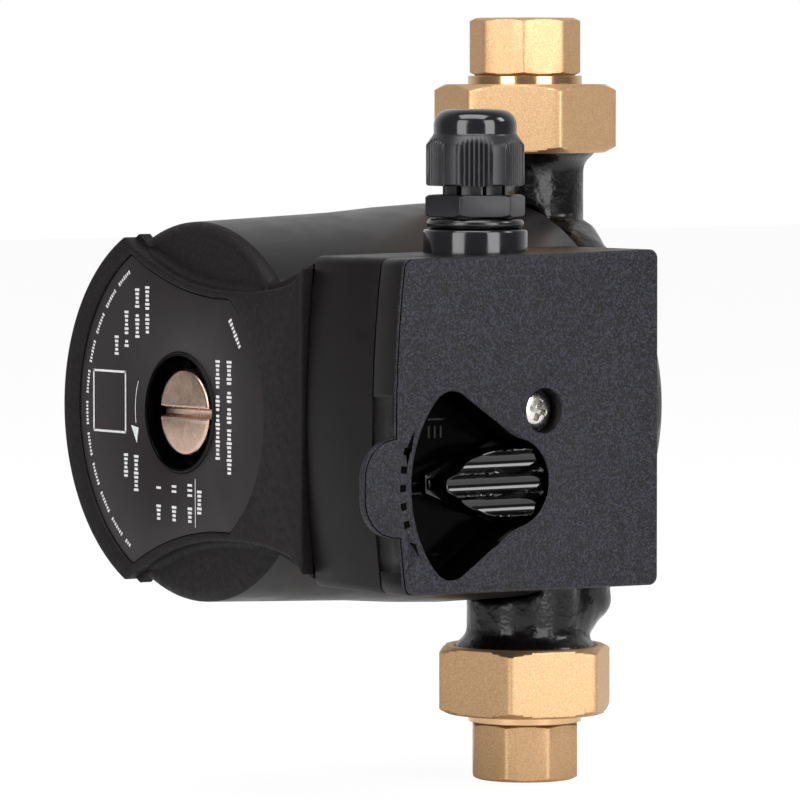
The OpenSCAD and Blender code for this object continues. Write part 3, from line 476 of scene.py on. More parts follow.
class Finish:
    """A material with one Principled shader, patterned in row-frame metres.

    A pattern is a node, or the size of the cells of plain noise in millimetres.
    """

    SOCKETS = {"roughness": "Roughness", "metallic": "Metallic", "ior": "IOR",
               "specular": "Specular IOR Level"}

    def __init__(self, name, base, **settings):
        self.material = bpy.data.materials.new(name)
        self.material.use_nodes = True
        self.tree = self.material.node_tree
        self.shader = self.tree.nodes["Principled BSDF"]
        self.base = (*base, 1)
        self.shader.inputs["Base Color"].default_value = self.base
        for key, value in settings.items():
            self.shader.inputs[self.SOCKETS[key]].default_value = value
        self.place = add(self.tree, "TexCoord").outputs["Object"]
        self.material.diffuse_color = self.base

    def noise(self, size, detail=3.0, stretch=None):
        place = self.place
        if stretch:
            place = add(self.tree, "Mapping", {"Vector": place, "Scale": stretch})
        return add(self.tree, "TexNoise", {"Vector": place, "Scale": per_mm(size), "Detail": detail})

    def pattern(self, given, detail=3.0):
        return self.noise(given, detail) if isinstance(given, (int, float)) else given

    def spread(self, pattern, low, high, start, end):
        """The part of a pattern between low and high, spread from start to end."""
        return add(self.tree, "MapRange", {0: self.pattern(pattern), 1: low, 2: high, 3: start, 4: end})

    def shade(self, pattern, dark, light, low=0.35, high=0.65):
        """Base colour that goes from dark to light times itself along a pattern."""
        share = self.spread(pattern, low, high, 0.0, 1.0)
        ends = [(*(min(1, c * k) for c in self.base[:3]), 1) for k in (dark, light)]
        mix = add(self.tree, "Mix", {"Factor": share, 6: ends[0], 7: ends[1]}, data_type="RGBA")
        self.tree.links.new(mix.outputs[2], self.shader.inputs["Base Color"])

    def rough(self, pattern, low, high):
        """Roughness that goes from low to high along a pattern."""
        share = self.spread(pattern, 0.3, 0.7, low, high)
        self.tree.links.new(share.outputs[0], self.shader.inputs["Roughness"])

    def bump(self, *layers):
        """Relief from (pattern, height in mm, strength) layers."""
        below = {}
        for pattern, height, strength in layers:
            relief = {"Height": self.pattern(pattern, 2), "Distance": height * MM, "Strength": strength}
            below = {"Normal": add(self.tree, "Bump", relief | below)}
        self.tree.links.new(below["Normal"].outputs[0], self.shader.inputs["Normal"])


def make_finishes(c):
    """Every material of the pump, from its colours."""
    # Alkyd enamel sprayed thick over sand-cast iron: wet gloss over lumps and grit
    m = Finish("alkyd_enamel_on_sand_cast_iron", c.enamel, ior=1.5, specular=0.3)
    m.shade(14, 0.7, 1.5)
    m.rough(5, 0.14, 0.32)
    m.bump((3.2, 0.5, 0.55), (0.9, 0.12, 0.35))

    # Powder paint on a die-cast cup: satin with faint orange peel
    m = Finish("powder_paint_on_die_cast_aluminium", c.shell_paint, ior=1.45, specular=0.55)
    m.shade(22, 0.85, 1.2)
    m.rough(8, 0.32, 0.42)
    m.bump((1.1, 0.03, 0.35))

    # The same paint where the die is etched: dull, with fine grit
    m = Finish("powder_paint_on_etched_casting", c.crest_paint, ior=1.45, specular=0.2)
    m.shade(m.noise(0.7, 4), 0.6, 1.8)
    m.rough(1.5, 0.48, 0.66)
    m.bump((m.noise(0.75, 3), 0.09, 0.7), (0.3, 0.03, 0.4))

    # Printed polyester foil: smooth satin, slight cloudiness
    m = Finish("printed_polyester_foil", c.foil, roughness=0.42, ior=1.5, specular=0.28)
    m.shade(6, 0.9, 1.12)
    m.bump((0.4, 0.01, 0.25))

    # Screen-printed ink: matt, slightly patchy
    m = Finish("screen_printed_ink", c.ink, roughness=0.6, ior=1.45)
    m.shade(0.8, 0.85, 1.05)

    # Nickel on turned brass: fine rings round the axis, soft mirror
    m = Finish("nickel_plate_on_turned_brass", c.nickel, metallic=1.0)
    centred = add(m.tree, "VectorMath", {0: m.place, 1: (0, 0, AXIS_H * MM)}, operation="SUBTRACT")
    flat = add(m.tree, "VectorMath", {0: centred, 1: (1, 0, 1)}, operation="MULTIPLY")
    radius = add(m.tree, "VectorMath", {0: flat}, operation="LENGTH").outputs["Value"]
    # 0.25 mm feed marks, as fine as the render can show
    rings = add(m.tree, "Math", {0: radius, 1: 2 * pi * per_mm(0.25)}, operation="MULTIPLY")
    wave = add(m.tree, "Math", {0: rings}, operation="SINE")
    m.shade(m.noise(1.6, 4), 0.9, 1.1)
    m.rough(m.noise(2.2, 4), 0.2, 0.34)
    m.bump((wave, 0.002, 0.2), (0.35, 0.008, 0.4))

    # ABS from a polished and lightly blasted mould: satin, nearly even
    m = Finish("moulded_abs_satin", c.abs_side, ior=1.5, specular=0.2)
    m.shade(18, 0.9, 1.15)
    m.rough(6, 0.36, 0.46)
    m.bump((0.5, 0.012, 0.3))

    # ABS from a spark-eroded mould: a dry glittering grain, drawn 0.45 mm coarse so that it shows
    m = Finish("moulded_abs_spark_grain", c.abs_face, ior=1.5, specular=0.28)
    grain = m.noise(0.45)
    m.shade(grain, 0.2, 5.5, 0.45, 0.66)
    m.rough(m.noise(0.7, 2), 0.36, 0.6)
    m.bump((grain, 0.3, 0.9), (1.8, 0.1, 0.3))

    # ABS from a mirror-polished mould: black glass look
    m = Finish("moulded_abs_polished", c.polished, ior=1.5)
    m.rough(5, 0.05, 0.1)
    m.bump((m.noise(2.5, 1), 0.01, 0.12))

    # The same mirror finish with its reflection turned almost off, as painted shade deep in the window, in the
    # plug's hole and in the sunk marks beside the window
    m = Finish("moulded_abs_polished_painted_shade", c.polished, ior=1.5, specular=0.03)
    m.rough(5, 0.1, 0.16)
    m.bump((m.noise(2.5, 1), 0.01, 0.12))

    # Unfilled nylon of cable glands: waxy satin
    m = Finish("moulded_nylon_satin", c.nylon, roughness=0.36, ior=1.53, specular=0.4)
    m.shade(4, 0.85, 1.2)
    m.bump((0.45, 0.03, 0.35))

    # The gland's dome comes from a polished insert: a clear dark gloss
    m = Finish("moulded_nylon_polished", c.nylon, ior=1.53)
    m.rough(3, 0.09, 0.16)
    m.bump((m.noise(2, 1), 0.015, 0.12))

    # Brass blasted with fine grit: glittering matt metal
    m = Finish("grit_blasted_brass", c.brass, metallic=1.0)
    m.shade(m.noise(0.34, 2), 0.84, 1.12)
    m.rough(m.noise(0.4, 2), 0.44, 0.56)
    m.bump((0.3, 0.05, 0.5))

    # Brass as the lathe leaves it: bright, with fine rings along the pipe
    m = Finish("turned_brass", c.brass, metallic=1.0, roughness=0.16)
    m.bump((m.noise(0.3, 1, (0.05, 0.05, 1)), 0.01, 0.3))

    # Zinc plate on steel screws: pale, softly bright
    m = Finish("zinc_plated_steel", c.zinc, metallic=1.0)
    m.shade(1.2, 0.9, 1.08)
    m.rough(0.8, 0.18, 0.32)

    # Nitrile rubber, moulded: black with a greasy gloss
    m = Finish("moulded_nitrile_rubber", c.rubber, ior=1.52)
    m.rough(1.5, 0.18, 0.3)
    m.bump((m.noise(0.8, 1), 0.01, 0.2))

    # Stainless steel, turned and drawn: cool grey with fine lines round the axis
    m = Finish("turned_stainless_steel", linear("#bdbab5"), metallic=1.0)
    m.rough(m.noise(0.5, 2, (1, 0.08, 1)), 0.2, 0.36)
    m.bump((m.noise(0.25, 1, (0.05, 1, 0.05)), 0.01, 0.3))

    # Carbon graphite, ground: dull grey-black with a faint shine
    m = Finish("ground_carbon_graphite", linear("#2a2a2c"), roughness=0.45, ior=1.6)
    m.shade(m.noise(0.3, 4), 0.8, 1.3)
    m.bump((0.25, 0.01, 0.3))

    # Glass-filled polyamide of the impeller and terminal block: milky, faintly streaked
    m = Finish("glass_filled_polyamide", linear("#8f887a"), roughness=0.5, ior=1.53)
    m.shade(m.noise(2.5, 4, (1, 1, 3)), 0.88, 1.1)
    m.bump((0.6, 0.02, 0.3))

    # Stacked electrical steel: 0.5 mm sheets across the motor axis
    m = Finish("stacked_electrical_steel", linear("#77736f"), metallic=1.0, roughness=0.4)
    wave = {"Vector": m.place, "Scale": per_mm(0.5) / pi / 2}
    sheets = add(m.tree, "TexWave", wave, bands_direction="Y").outputs["Fac"]
    m.shade(sheets, 0.7, 1.1)
    m.bump((sheets, 0.05, 0.6))

    # Enamelled copper wire, lacquered together: 0.4 mm strands
    m = Finish("enamelled_copper_wire", linear("#b4682e"), metallic=0.7, roughness=0.3)
    strands = m.noise(0.4, 1, (0.15, 1, 0.15))
    m.shade(strands, 0.6, 1.25)
    m.bump((strands, 0.12, 0.8))

    # Polyester case of capacitor and switch: flat grey plastic
    m = Finish("moulded_polyester_case", linear("#9b9b97"), roughness=0.48, ior=1.5)
    m.shade(5, 0.93, 1.05)
    m.bump((0.7, 0.015, 0.3))


INNER = {
    "zinc_plated_steel": "motor_screws base_screws terminal_screws",
    "moulded_nitrile_rubber": "housing_o_ring vent_plug_seal gland_seal cover_gasket lead_grommet"
                              " upper_gasket lower_gasket",
    "turned_stainless_steel": "bearing_plate rotor_can rear_bearing_carrier shaft rotor_core",
    "ground_carbon_graphite": "front_bearing rear_bearing thrust_washer",
    "glass_filled_polyamide": "impeller terminal_block",
    "stacked_electrical_steel": "stator_core",
    "enamelled_copper_wire": "stator_windings",
    "turned_brass": "earth_screw",
    "moulded_polyester_case": "capacitor speed_switch",
    "moulded_nylon_satin": "gland_lock_nut",
}


def give_finishes(scene):
    make_finishes(scene.pump_colours)
    for finish, nodes in INNER.items():
        for node in nodes.split():
            mesh = frame["nodes"][node].data
            mesh.materials.clear()
            mesh.materials.append(bpy.data.materials[finish])


class PUMP_OT_finishes(Operator):
    """Makes the materials and gives them to the solids that stay as they are"""

    bl_idname = "pump.finishes"
    bl_label = "Finishes"

    def execute(self, context):
        give_finishes(context.scene)
        return {"FINISHED"}


def cast_housing(scene):
    voxel = scene.pump_sizes.casting_voxel / MM
    bm = passed_through(
        solid_of("pump_housing"),
        ("REMESH", {"mode": "VOXEL", "voxel_size": voxel}),
        ("SMOOTH", {"factor": 0.5, "iterations": 10}),
    )
    core, wide, thick, lugs = 34.1, 10.5, 13.4, 15
    waist, waist_long, waist_deep = -45, 3.2, 1.9
    for v in bm.verts:
        x, y, z = v.co.x, v.co.y, v.co.z - AXIS_H
        r = hypot(x, z)
        far = hypot(r - core, y)
        # the drum's back edge is rounder in the casting than in the solids, but not at the lugs
        if r > core and y > 0 and far > wide:
            share = clamp((abs(x) - lugs) / 6) * clamp((thick - far) / 0.8)
            pull = 1 - share * (1 - wide / far)
            out = (core + (r - core) * pull) / r
            v.co = (x * out, y * pull, z * out + AXIS_H)
        # waist under the suction duct's knuckle
        v.co.y -= waist_deep * exp(-(((z - waist) / waist_long) ** 2)) * clamp((y - 4) / 10)
    piece("housing_casting", bm, ROW, ["alkyd_enamel_on_sand_cast_iron"],
          ["pump_housing"], crease=180)


class PUMP_OT_housing(Operator):
    """Casts the pump housing: every edge and corner melts into the next"""

    bl_idname = "pump.housing"
    bl_label = "Housing casting"

    def execute(self, context):
        cast_housing(context.scene)
        return {"FINISHED"}


def cast_motor(scene):
    disc, front, face, rim_low, shell_r = 96, 99.5, 98.5, 93.2, 42.8
    cutter = bmesh.new()
    spun(cutter, [(0, disc), (70, disc), (70, 110), (0, 110)], evenly(48))
    bm = combined(solid_of("motor_shell", MOTOR), cutter)
    piece("motor_shell_casting", bm, MOTOR,
          ["powder_paint_on_die_cast_aluminium", "powder_paint_on_etched_casting"], ["motor_shell"],
          choose=lambda x, y, z, facing: y < -92.8)

    bm = bmesh.new()
    edge = scene.pump_sizes.crest_edge / MM
    quarter = np.radians(range(0, 91, 18))
    outline = crest_outline()
    rounding = [(edge * (cos(t) - 1), front - edge * (1 - sin(t))) for t in quarter]
    rings = stacked(bm, outline, [(0, disc - 0.4)] + rounding)
    # the overhang leans back under the rim to the shell
    foot = [p * min(1, shell_r / np.linalg.norm(p)) if p[0] < 0 else p for p in outline]
    join(bm, [bm.verts.new((*p, rim_low)) for p in foot], rings[0])
    sunk = stacked(bm, plate_outline(0.25), [(0.5, front), (0.2, front - 0.1), (0, front - 0.4), (0, face)])
    filled(bm, rings[-1], sunk[0])
    # soft lip that runs down into the plug's hole
    lip_r, lip = 0.45, [(13.75, face), (13.7, face + 0.35)]
    lip += [(13.2 + lip_r * cos(t), face + 0.4 + lip_r * sin(t)) for t in np.radians(range(0, 181, 20))]
    lips = spun(bm, lip + [(12.7, disc), (12.8, 92), (12.8, 79.5)], evenly(96))
    filled(bm, sunk[-1], lips[0])
    # fillet along the foot of each scallop, which fades out towards the tips
    line = np.array(scallop_line(48))
    along = np.gradient(line, axis=0)
    out = np.column_stack((-along[:, 1], along[:, 0])) / np.linalg.norm(along, axis=1)[:, None]
    size = 1.6 * np.clip((41.0 - np.linalg.norm(line, axis=1)) / 4, 0, 1)
    line, out, size = (v[size > 0.05] for v in (line, out, size))
    for side in (1, -1):
        strips = []
        for t in quarter:
            foot = line + out * (size * (1 - cos(t)) - 0.02)[:, None]
            heights = disc - 0.02 + size * (1 - sin(t))
            strips.append([bm.verts.new((x, side * y, z)) for (x, y), z in zip(foot, heights)])
        for a, b in zip(strips, strips[1:]):
            for i in range(len(a) - 1):
                bm.faces.new((a[i], a[i + 1], b[i + 1], b[i]))
    # the plug's hole takes the mirror finish with its reflection turned almost off, as painted shade
    piece("motor_end_crest", bm, MOTOR,
          ["powder_paint_on_etched_casting", "moulded_abs_polished_painted_shade"],
          choose=lambda x, y, z, facing: hypot(x, z) < 13.3)


class PUMP_OT_motor(Operator):
    """Casts the motor shell with the raised crest on its end"""

    bl_idname = "pump.motor"
    bl_label = "Motor shell"

    def execute(self, context):
        cast_motor(context.scene)
        return {"FINISHED"}


# Lines of print that run down the plate: x and y of the start, height, and lengths of the groups
PRINT_LINES = [
    (-12.6, 28.2, 1.7, (5.0, 4.0)), (-16.6, 27.6, 1.7, (4.6, 5.4)), (-20.9, 22.4, 1.6, (5.4, 1.6)),
    (-24.9, 16.6, 1.6, (4.4,)), (19.3, 12.4, 1.9, (5.6, 2.4, 3.4, 10.0)), (14.9, 12.4, 1.7, (6.6, 3.0, 10.4)),
    (-17.2, -10.4, 1.8, (8.4,)), (-21.3, -10.2, 1.7, (5.6,)), (7.7, -17.2, 1.8, (5.0,)),
    (4.0, -21.2, 1.8, (3.4,)), (-2.2, -21.2, 1.8, (3.6,)), (-8.3, -21.2, 1.8, (3.4,)),
]


def lay_plate():
    bm = bmesh.new()
    top, low, hole_r = 99.0, 98.5, 13.85
    outer = stacked(bm, plate_outline(), [(0, low), (0, top - 0.14), (-0.06, top - 0.04), (-0.2, top)])
    hole = spun(bm, [(hole_r + 0.1, top), (hole_r, top - 0.06), (hole_r, low)], evenly(96))
    filled(bm, outer[-1], hole[0])
    filled(bm, outer[0], hole[-1])
    piece("rating_plate_foil", bm, MOTOR, ["printed_polyester_foil"], ["rating_plate"])

    bm = bmesh.new()

    def strip(points):
        bm.faces.new([bm.verts.new((*p, top + 0.02)) for p in points])

    def bar(x, y, turn, long, wide):
        """One stroke from its start along an angle."""
        start, aside = np.array((x, y), float), towards(turn + 90) * wide / 2
        end = start + towards(turn) * long
        strip([start - aside, end - aside, end + aside, start + aside])

    def words(x, y, turn, tall, lengths):
        """A line of print as short upright strokes in groups."""
        at, stroke, pitch, space = 0.0, 0.6, 0.95, 1.3
        for k, long in enumerate(lengths):
            for i, gone in enumerate(np.arange(0, long, pitch)):
                start = (x, y) + towards(turn) * (at + gone)
                bar(*start, turn, stroke, tall * (1, 0.72, 0.72, 0.86)[(i * 3 + k) % 4])
            at += long + space

    for x, y, tall, lengths in PRINT_LINES:
        words(x, y, -90, tall, lengths)
    words(19.6, 21.6, -58, 1.3, (7.2,))
    # curved line of fine print along the left rim
    for i, a in enumerate(np.arange(122, 238, 1.25)):
        if i % 9 < 7:
            bar(*(36.9 * towards(a)), a + 90, 0.5, (0.9, 0.65, 0.8)[i % 3])
    # speed marks: three, two and one, with a rule beside them
    for x, n in ((4.0, 3), (-2.2, 2), (-8.3, 1)):
        for k in range(n):
            bar(x - 0.9, -16.2 - 1.15 * (k + (3 - n) / 2), 0, 1.8, 0.55)
    bar(6.1, -14.6, -90, 11, 0.22)
    # plain frame
    for x, y, turn, long in ((-34.4, 8.4, 0, 13.2), (-34.4, -5.4, 0, 13.2), (-34.2, -5.6, 90, 14.2),
                             (-21.4, -5.6, 90, 14.2)):
        bar(x, y, turn, long, 0.5)
    # arrow that shows the way the rotor turns
    sweep = arc((0, 0), 17.6, 158, 190, 14)
    for a, b in zip(sweep, sweep[1:]):
        strip([a, b, b * 0.988, a * 0.988])
    strip([(-19.2, -3.6), (-16.2, -4.1), (-16.9, -7.6)])
    made = piece("rating_plate_print", bm, MOTOR, ["screen_printed_ink"])
    for polygon in made.data.polygons:
        if polygon.normal.y > 0:
            polygon.flip()


class PUMP_OT_plate(Operator):
    """Lays the rating plate and its plain print into the crest"""

    bl_idname = "pump.plate"
    bl_label = "Rating plate"

    def execute(self, context):
        lay_plate()
        return {"FINISHED"}


def turn_plug():
    bm = solid_of("vent_plug", MOTOR)
    # the face stands further out than in the solids
    stand, shank_end, near_face = 1.2, 93, 96.65
    for v in bm.verts:
        v.co.z += stand * (v.co.z > shank_end)
    soften(bm, 0.5, lambda co: co.z > shank_end + 1 + stand and hypot(co.x, co.y) > 9, sharper=20)
    soften(bm, 0.12, lambda co: co.z > near_face + stand and abs(co.y) < 1.1, segments=2, sharper=40)
    piece("vent_plug_turned", bm, MOTOR, ["nickel_plate_on_turned_brass"], ["vent_plug"],
          body="vent_plug")


class PUMP_OT_plug(Operator):
    """Turns the vent plug and mills its slot"""

    bl_idname = "pump.plug"
    bl_label = "Vent plug"

    def execute(self, context):
        turn_plug()
        return {"FINISHED"}


def mould_box_base():
    bm = solid_of("terminal_box_base", BOX)
    bottom, lip, boss, boss_r = 47.05, 71.35, 41.9, 11

    def outside(co):
        return abs(co.y) > 35.5 or co.x > -25.4 or co.x < -95.4

    def round_boss(co):
        return co.y > boss and hypot(co.x - GLAND_AT[1], co.z - GLAND_AT[0]) > boss_r

    soften(bm, 1.1, lambda co: co.z < bottom and outside(co), segments=4)
    soften(bm, 0.7, round_boss)
    soften(bm, 0.2, lambda co: co.z > lip and outside(co), segments=2)
    piece("box_base_moulding", bm, BOX,
          ["moulded_abs_satin", "moulded_nylon_polished"], ["terminal_box_base"],
          choose=lambda x, y, z, facing: z > 37.3)


class PUMP_OT_box_base(Operator):
    """Moulds the base of the terminal box with its cable boss"""

    bl_idname = "pump.box_base"
    bl_label = "Terminal box base"

    def execute(self, context):
        mould_box_base()
        return {"FINISHED"}


def mould_box_cover(scene):
    sizes = scene.pump_sizes
    low, near_face, sunk, above = 71.95, 80.25, 80.0, 81
    bm = solid_of("terminal_box_cover", BOX)
    # shallow step in the far side that the thumb tab bridges
    cutter = bmesh.new()
    block(cutter, (-110, -31.5, 71), (-80, 6.5, 76.2))
    bm = combined(bm, combined(cutter, prism(bmesh.new(), box_plan(-0.45), 60, 90)))
    # the thumb tab, cut back to its own outline
    around = bmesh.new()
    block(around, (-110, -31.5, 76), (-80, 5.5, above))
    around = combined(around, prism(bmesh.new(), box_plan(), 70, 90))
    bm = combined(bm, combined(around, prism(bmesh.new(), tab_outline(), 70, 90, (0, WINDOW_AT[1]))))
    # the window and its well, with a bore for the knob's stem
    tub, stem = grown(window_outline(), 1.0), arc(WINDOW_AT, 4.6, 0, 352.5, 47)
    bm = combined(bm, prism(bmesh.new(), tub, WINDOW_FLOOR - 1.4, 80.2, WINDOW_AT), "UNION")
    bm = combined(bm, prism(bmesh.new(), window_outline(), WINDOW_FLOOR, above, WINDOW_AT))
    bm = combined(bm, prism(bmesh.new(), stem, 60, 75))
    made_flat(bm)

    def at_window(co):
        return -94.6 < co.x < -56 and -35.6 < co.y < 9.6

    def at_screw(x, y):
        return hypot(x - SCREW_AT[0], y - SCREW_AT[1]) < 5.4

    def hole(co):
        return at_window(co) or at_screw(co.x, co.y)

    soften(bm, sizes.cover_edge / MM, lambda co: co.z > near_face and not hole(co), segments=5)
    soften(bm, 0.8, lambda co: 77 < co.z < 78 and co.x < -98.5, segments=4)
    soften(bm, sizes.window_edge / MM, lambda co: co.z > near_face and hole(co))
    soften(bm, 0.2, lambda co: co.z < low and (abs(co.y) > 35 or co.x > -26 or co.x < -95), segments=2)

    # sunk arrows and dots beside the window
    marks = bmesh.new()
    prism(marks, [(-93.1, -0.1), (-95.9, -5.0), (-94.0, -5.3)], sunk, above)
    prism(marks, [(-91.5, -29.0), (-92.9, -25.1), (-94.7, -24.7)], sunk, above)
    for turn in (165, 172.5, 180, 187.5, 195):
        dot = block(marks, (29.6, -0.8, sunk), (31.3, 0.8, above))
        turned = Matrix.Translation((*WINDOW_AT, 0)) @ Matrix.Rotation(radians(turn), 4, "Z")
        bmesh.ops.transform(marks, matrix=turned, verts=dot)
    bm = combined(bm, marks)
    # low bars on the window's floor: three, two and one
    bars = [(x - 0.25, 9.9, x + 0.25, 12.5) for x in (-15.7, -14.05, -12.4)] + [(-16, 13.75, -11.2, 14.15)]
    bars += [(-22, y - 0.22, -15.4, y + 0.22) for y in (0.1, -2.1)] + [(-16, -15.85, -12.4, -15.4)]
    for left, below, right, top in bars:
        x, y = WINDOW_AT
        block(bm, (left + x, below + y, WINDOW_FLOOR - 0.2), (right + x, top + y, WINDOW_FLOOR + 0.22))

    def finish_at(x, y, z, facing):
        if WINDOW_FLOOR + 0.05 < x < WINDOW_FLOOR + 0.25:
            return 3
        # the window's well and the floors of the sunk marks take the mirror finish with its reflection turned
        # almost off, as painted shade
        in_window = hypot(y - WINDOW_AT[0], z - WINDOW_AT[1]) < 29.4 and -56.1 > y > -94.3 and 69 < x < sunk
        if in_window and not at_screw(y, z) or sunk - 0.1 < x < sunk + 0.1 and y < -91:
            return 2
        return x < 79.2 and (y > -99 or x < 77.5) and facing.x < 0.8

    piece("box_cover_moulding", bm, BOX,
          ["moulded_abs_spark_grain", "moulded_abs_satin", "moulded_abs_polished_painted_shade",
           "moulded_abs_polished"],
          ["terminal_box_cover"], choose=finish_at)


class PUMP_OT_box_cover(Operator):
    """Moulds the cover with its window, thumb tab and sunk marks"""

    bl_idname = "pump.box_cover"
    bl_label = "Terminal box cover"

    def execute(self, context):
        mould_box_cover(context.scene)
        return {"FINISHED"}


def shape_knob():
    bm = bmesh.new()
    low, top, tip, end, widest, half_wide = 70.1, 80.0, -17.3, 8.75, 2, 7.7
    pitch, depth, edge = 4.8, 1.6, 0.35

    def half(x):
        """Half width of the grip: a blunt end and a long round point."""
        if x > widest:
            return half_wide * sqrt(max(1 - ((x - widest) / (end + 0.02 - widest)) ** 3.2, 0))
        return half_wide * cos(radians(80) * min(1, (widest - x) / (widest - tip)) ** 1.25)

    def crown(x, y):
        """Height of the fluted top, rounded down at its edge."""
        ridge = top - depth * (1 - (((y + pitch / 2) % pitch) / (pitch / 2) - 1) ** 2)
        gap = max(0.0, min(edge, half(x) - abs(y), x - tip))
        return ridge - (edge - sqrt(max(edge**2 - (edge - gap) ** 2, 0)))

    xs = [*(tip + np.array([0, 0.1, 0.25, 0.5])), *np.linspace(tip + 1, 7.4, 40), 7.9, 8.3, 8.55, 8.7, end]
    share = 0.5 * np.sin(np.linspace(-pi / 2, pi / 2, 49)) + 0.5 * np.linspace(-1, 1, 49)
    grid = [[bm.verts.new((x, s * half(x), crown(x, s * half(x)))) for s in share] for x in xs]
    for a, b in zip(grid, grid[1:]):
        for i in range(len(a) - 1):
            bm.faces.new((a[i], b[i], b[i + 1], a[i + 1]))
    rim = [row[0] for row in grid] + grid[-1][1:] + [row[-1] for row in grid[-2::-1]] + grid[0][-2:0:-1]
    join(bm, rim, [bm.verts.new((v.co.x, v.co.y, low + 1.2)) for v in rim])
    # skirt with its wedge, the raised pointer at its tip, and the stem
    wedge = rounded([(0, 8.9), (-18.2, 2.0), (-18.2, -2.0), (0, -8.9)], [0, 0.5, 0.5, 0])
    skirt = wedge + arc((0, 0), 8.95, -89, 89, 40)
    rings = stacked(bm, skirt, [(0, low), (0, low + 1.75), (-0.08, low + 1.95), (-0.25, low + 2.0)])
    filled(bm, rings[-1])
    filled(bm, rings[0])
    pointer = block(bm, (-17.9, -0.6, low + 1), (-15.9, 0.9, low + 2.9))
    bevelled(bm, list({e for v in pointer for e in v.link_edges}), 0.15, 2)
    spun(bm, [(3, low - 8), (3, low + 0.5)], evenly(32))
    piece("speed_knob_moulding", bm, KNOB, ["moulded_abs_polished"], ["speed_knob"],
          body="speed_knob")


class PUMP_OT_knob(Operator):
    """Shapes the fluted speed knob and its wedge skirt"""

    bl_idname = "pump.knob"
    bl_label = "Speed knob"

    def execute(self, context):
        shape_knob()
        return {"FINISHED"}


def form_cover_screw():
    low, side, rise, head_r, recess = 75.9, 0.9, 2.2, 4.05, 1.5
    turn = radians(18)

    def crown(r):
        def height(t):
            dome = low + side + (rise - side) * sqrt(max(0, 1 - (r / head_r) ** 2.6))
            x, y = abs(r * cos(t + turn)), abs(r * sin(t + turn))
            arm = clamp((0.62 - min(x, y)) / 0.16) * clamp((2.35 - max(x, y)) / 0.35)
            return dome - recess * max(arm, clamp((1.25 - r) / 0.4))

        return height

    bm = bmesh.new()
    rows = [(1.6, low - 14), (1.6, low - 0.1), (3.7, low), (4.0, low + 0.25), (4.0, low + 0.8)]
    rows += [(r, crown(r)) for r in np.linspace(3.98, 0.12, 34)] + [(0, low + 0.7)]
    spun(bm, rows, evenly(120))
    piece("cover_screw_head", bm, BOX @ Matrix.Translation((*SCREW_AT, 0)),
          ["zinc_plated_steel"], ["cover_screw"], crease=50)


class PUMP_OT_cover_screw(Operator):
    """Forms the cover screw with its cross recess"""

    bl_idname = "pump.cover_screw"
    bl_label = "Cover screw"

    def execute(self, context):
        form_cover_screw()
        return {"FINISHED"}


def build_gland():
    bm = solid_of("gland_body", GLAND)
    soften(bm, 0.25, lambda co: 44.5 < co.z < 49.7 and hypot(co.x, co.y) > 9, sharper=25)
    piece("gland_body_moulding", bm, GLAND, ["moulded_nylon_satin"], ["gland_body"])

    bm = bmesh.new()
    ring_r, thick, height = 9.6, 1.2, 43.2
    ring = [(ring_r + thick * cos(t), height + thick * sin(t)) for t in evenly(20)]
    spun(bm, ring, evenly(96), closed=True)
    piece("gland_ring_moulding", bm, GLAND, ["moulded_nitrile_rubber"],
          ["gland_o_ring"], crease=180)

    # cap nut: six ribbed flats under a polished dome
    low, rib_top, cap_r, rib, ribs = 51.6, 63.0, 10.9, 0.17, 60
    hexagon = flats(20.7, 6, -67.6, 0.5)

    def ribbed(limit):
        return lambda t: min(hexagon(t) - rib * (1 + cos(ribs * t)) ** 1.5, limit)

    bm = bmesh.new()
    shoulder, dome_r, dome_round = rib_top - 2.4, 9.2, 3.6
    rows = [(8.2, low), (10.0, low), (ribbed(10.55), low + 0.02), (ribbed(cap_r), low + 0.4)]
    rows += [(ribbed(cap_r), z) for z in (low + 3, low + 7, shoulder)]
    rows += [(ribbed(cap_r - 0.72 * d), shoulder + d) for d in (0.5, 1.0, 1.5, 2.0)]
    rows += [(9.35, rib_top - 0.25), (9.3, rib_top), (dome_r, rib_top + 0.1)]
    rows += [(dome_r - dome_round + dome_round * cos(t), 64.9 + dome_round * sin(t))
             for t in np.radians(np.linspace(0, 90, 10))]
    rows += [(5.6, 68.5), (5.35, 68.4), (5.3, 68.1), (5.3, 61.7), (7.3, 61.5), (7.3, low), (8.2, low)]
    spun(bm, rows, evenly(480))
    piece("gland_cap_nut_moulding", bm, GLAND,
          ["moulded_nylon_satin", "moulded_nylon_polished"], ["gland_cap_nut"], body="gland_cap_nut",
          choose=lambda x, y, z, facing: z > rib_top - 0.1, crease=40)


class PUMP_OT_gland(Operator):
    """Builds the cable gland: body, ring and ribbed cap nut"""

    bl_idname = "pump.gland"
    bl_label = "Cable gland"

    def execute(self, context):
        build_gland()
        return {"FINISHED"}


def nut(name, frame_of, turn, body):
    low, high, width, chamfer = 57.8, 73.8, 37.5, 0.12
    shape, corner = flats(width, 6, turn, 0.35), width / 2 / cos(pi / 6)
    steps = (0, 0.12, 0.3, 0.5, 0.7, 0.9, 1.1, 1.3, 1.5)
    cone = [(under(shape, corner - 2.8 + 2 * d), d + chamfer) for d in steps]
    rows = [(13.65, high - 0.3), (13.95, high), (18.3, high), (under(shape, 18.7), high - 0.03)]
    rows += [(r, high - d) for r, d in cone] + [(r, low + d) for r, d in reversed(cone)]
    rows += [(under(shape, 18.7), low + 0.03), (18.3, low), (17.2, low), (16.75, low + 0.45),
             (16.65, high - 3.2), (13.65, high - 3.2)]
    bm = bmesh.new()
    spun(bm, rows, at_flats(6, turn), closed=True)
    piece(name, bm, frame_of, ["grit_blasted_brass"], [body], body=body, crease=24)


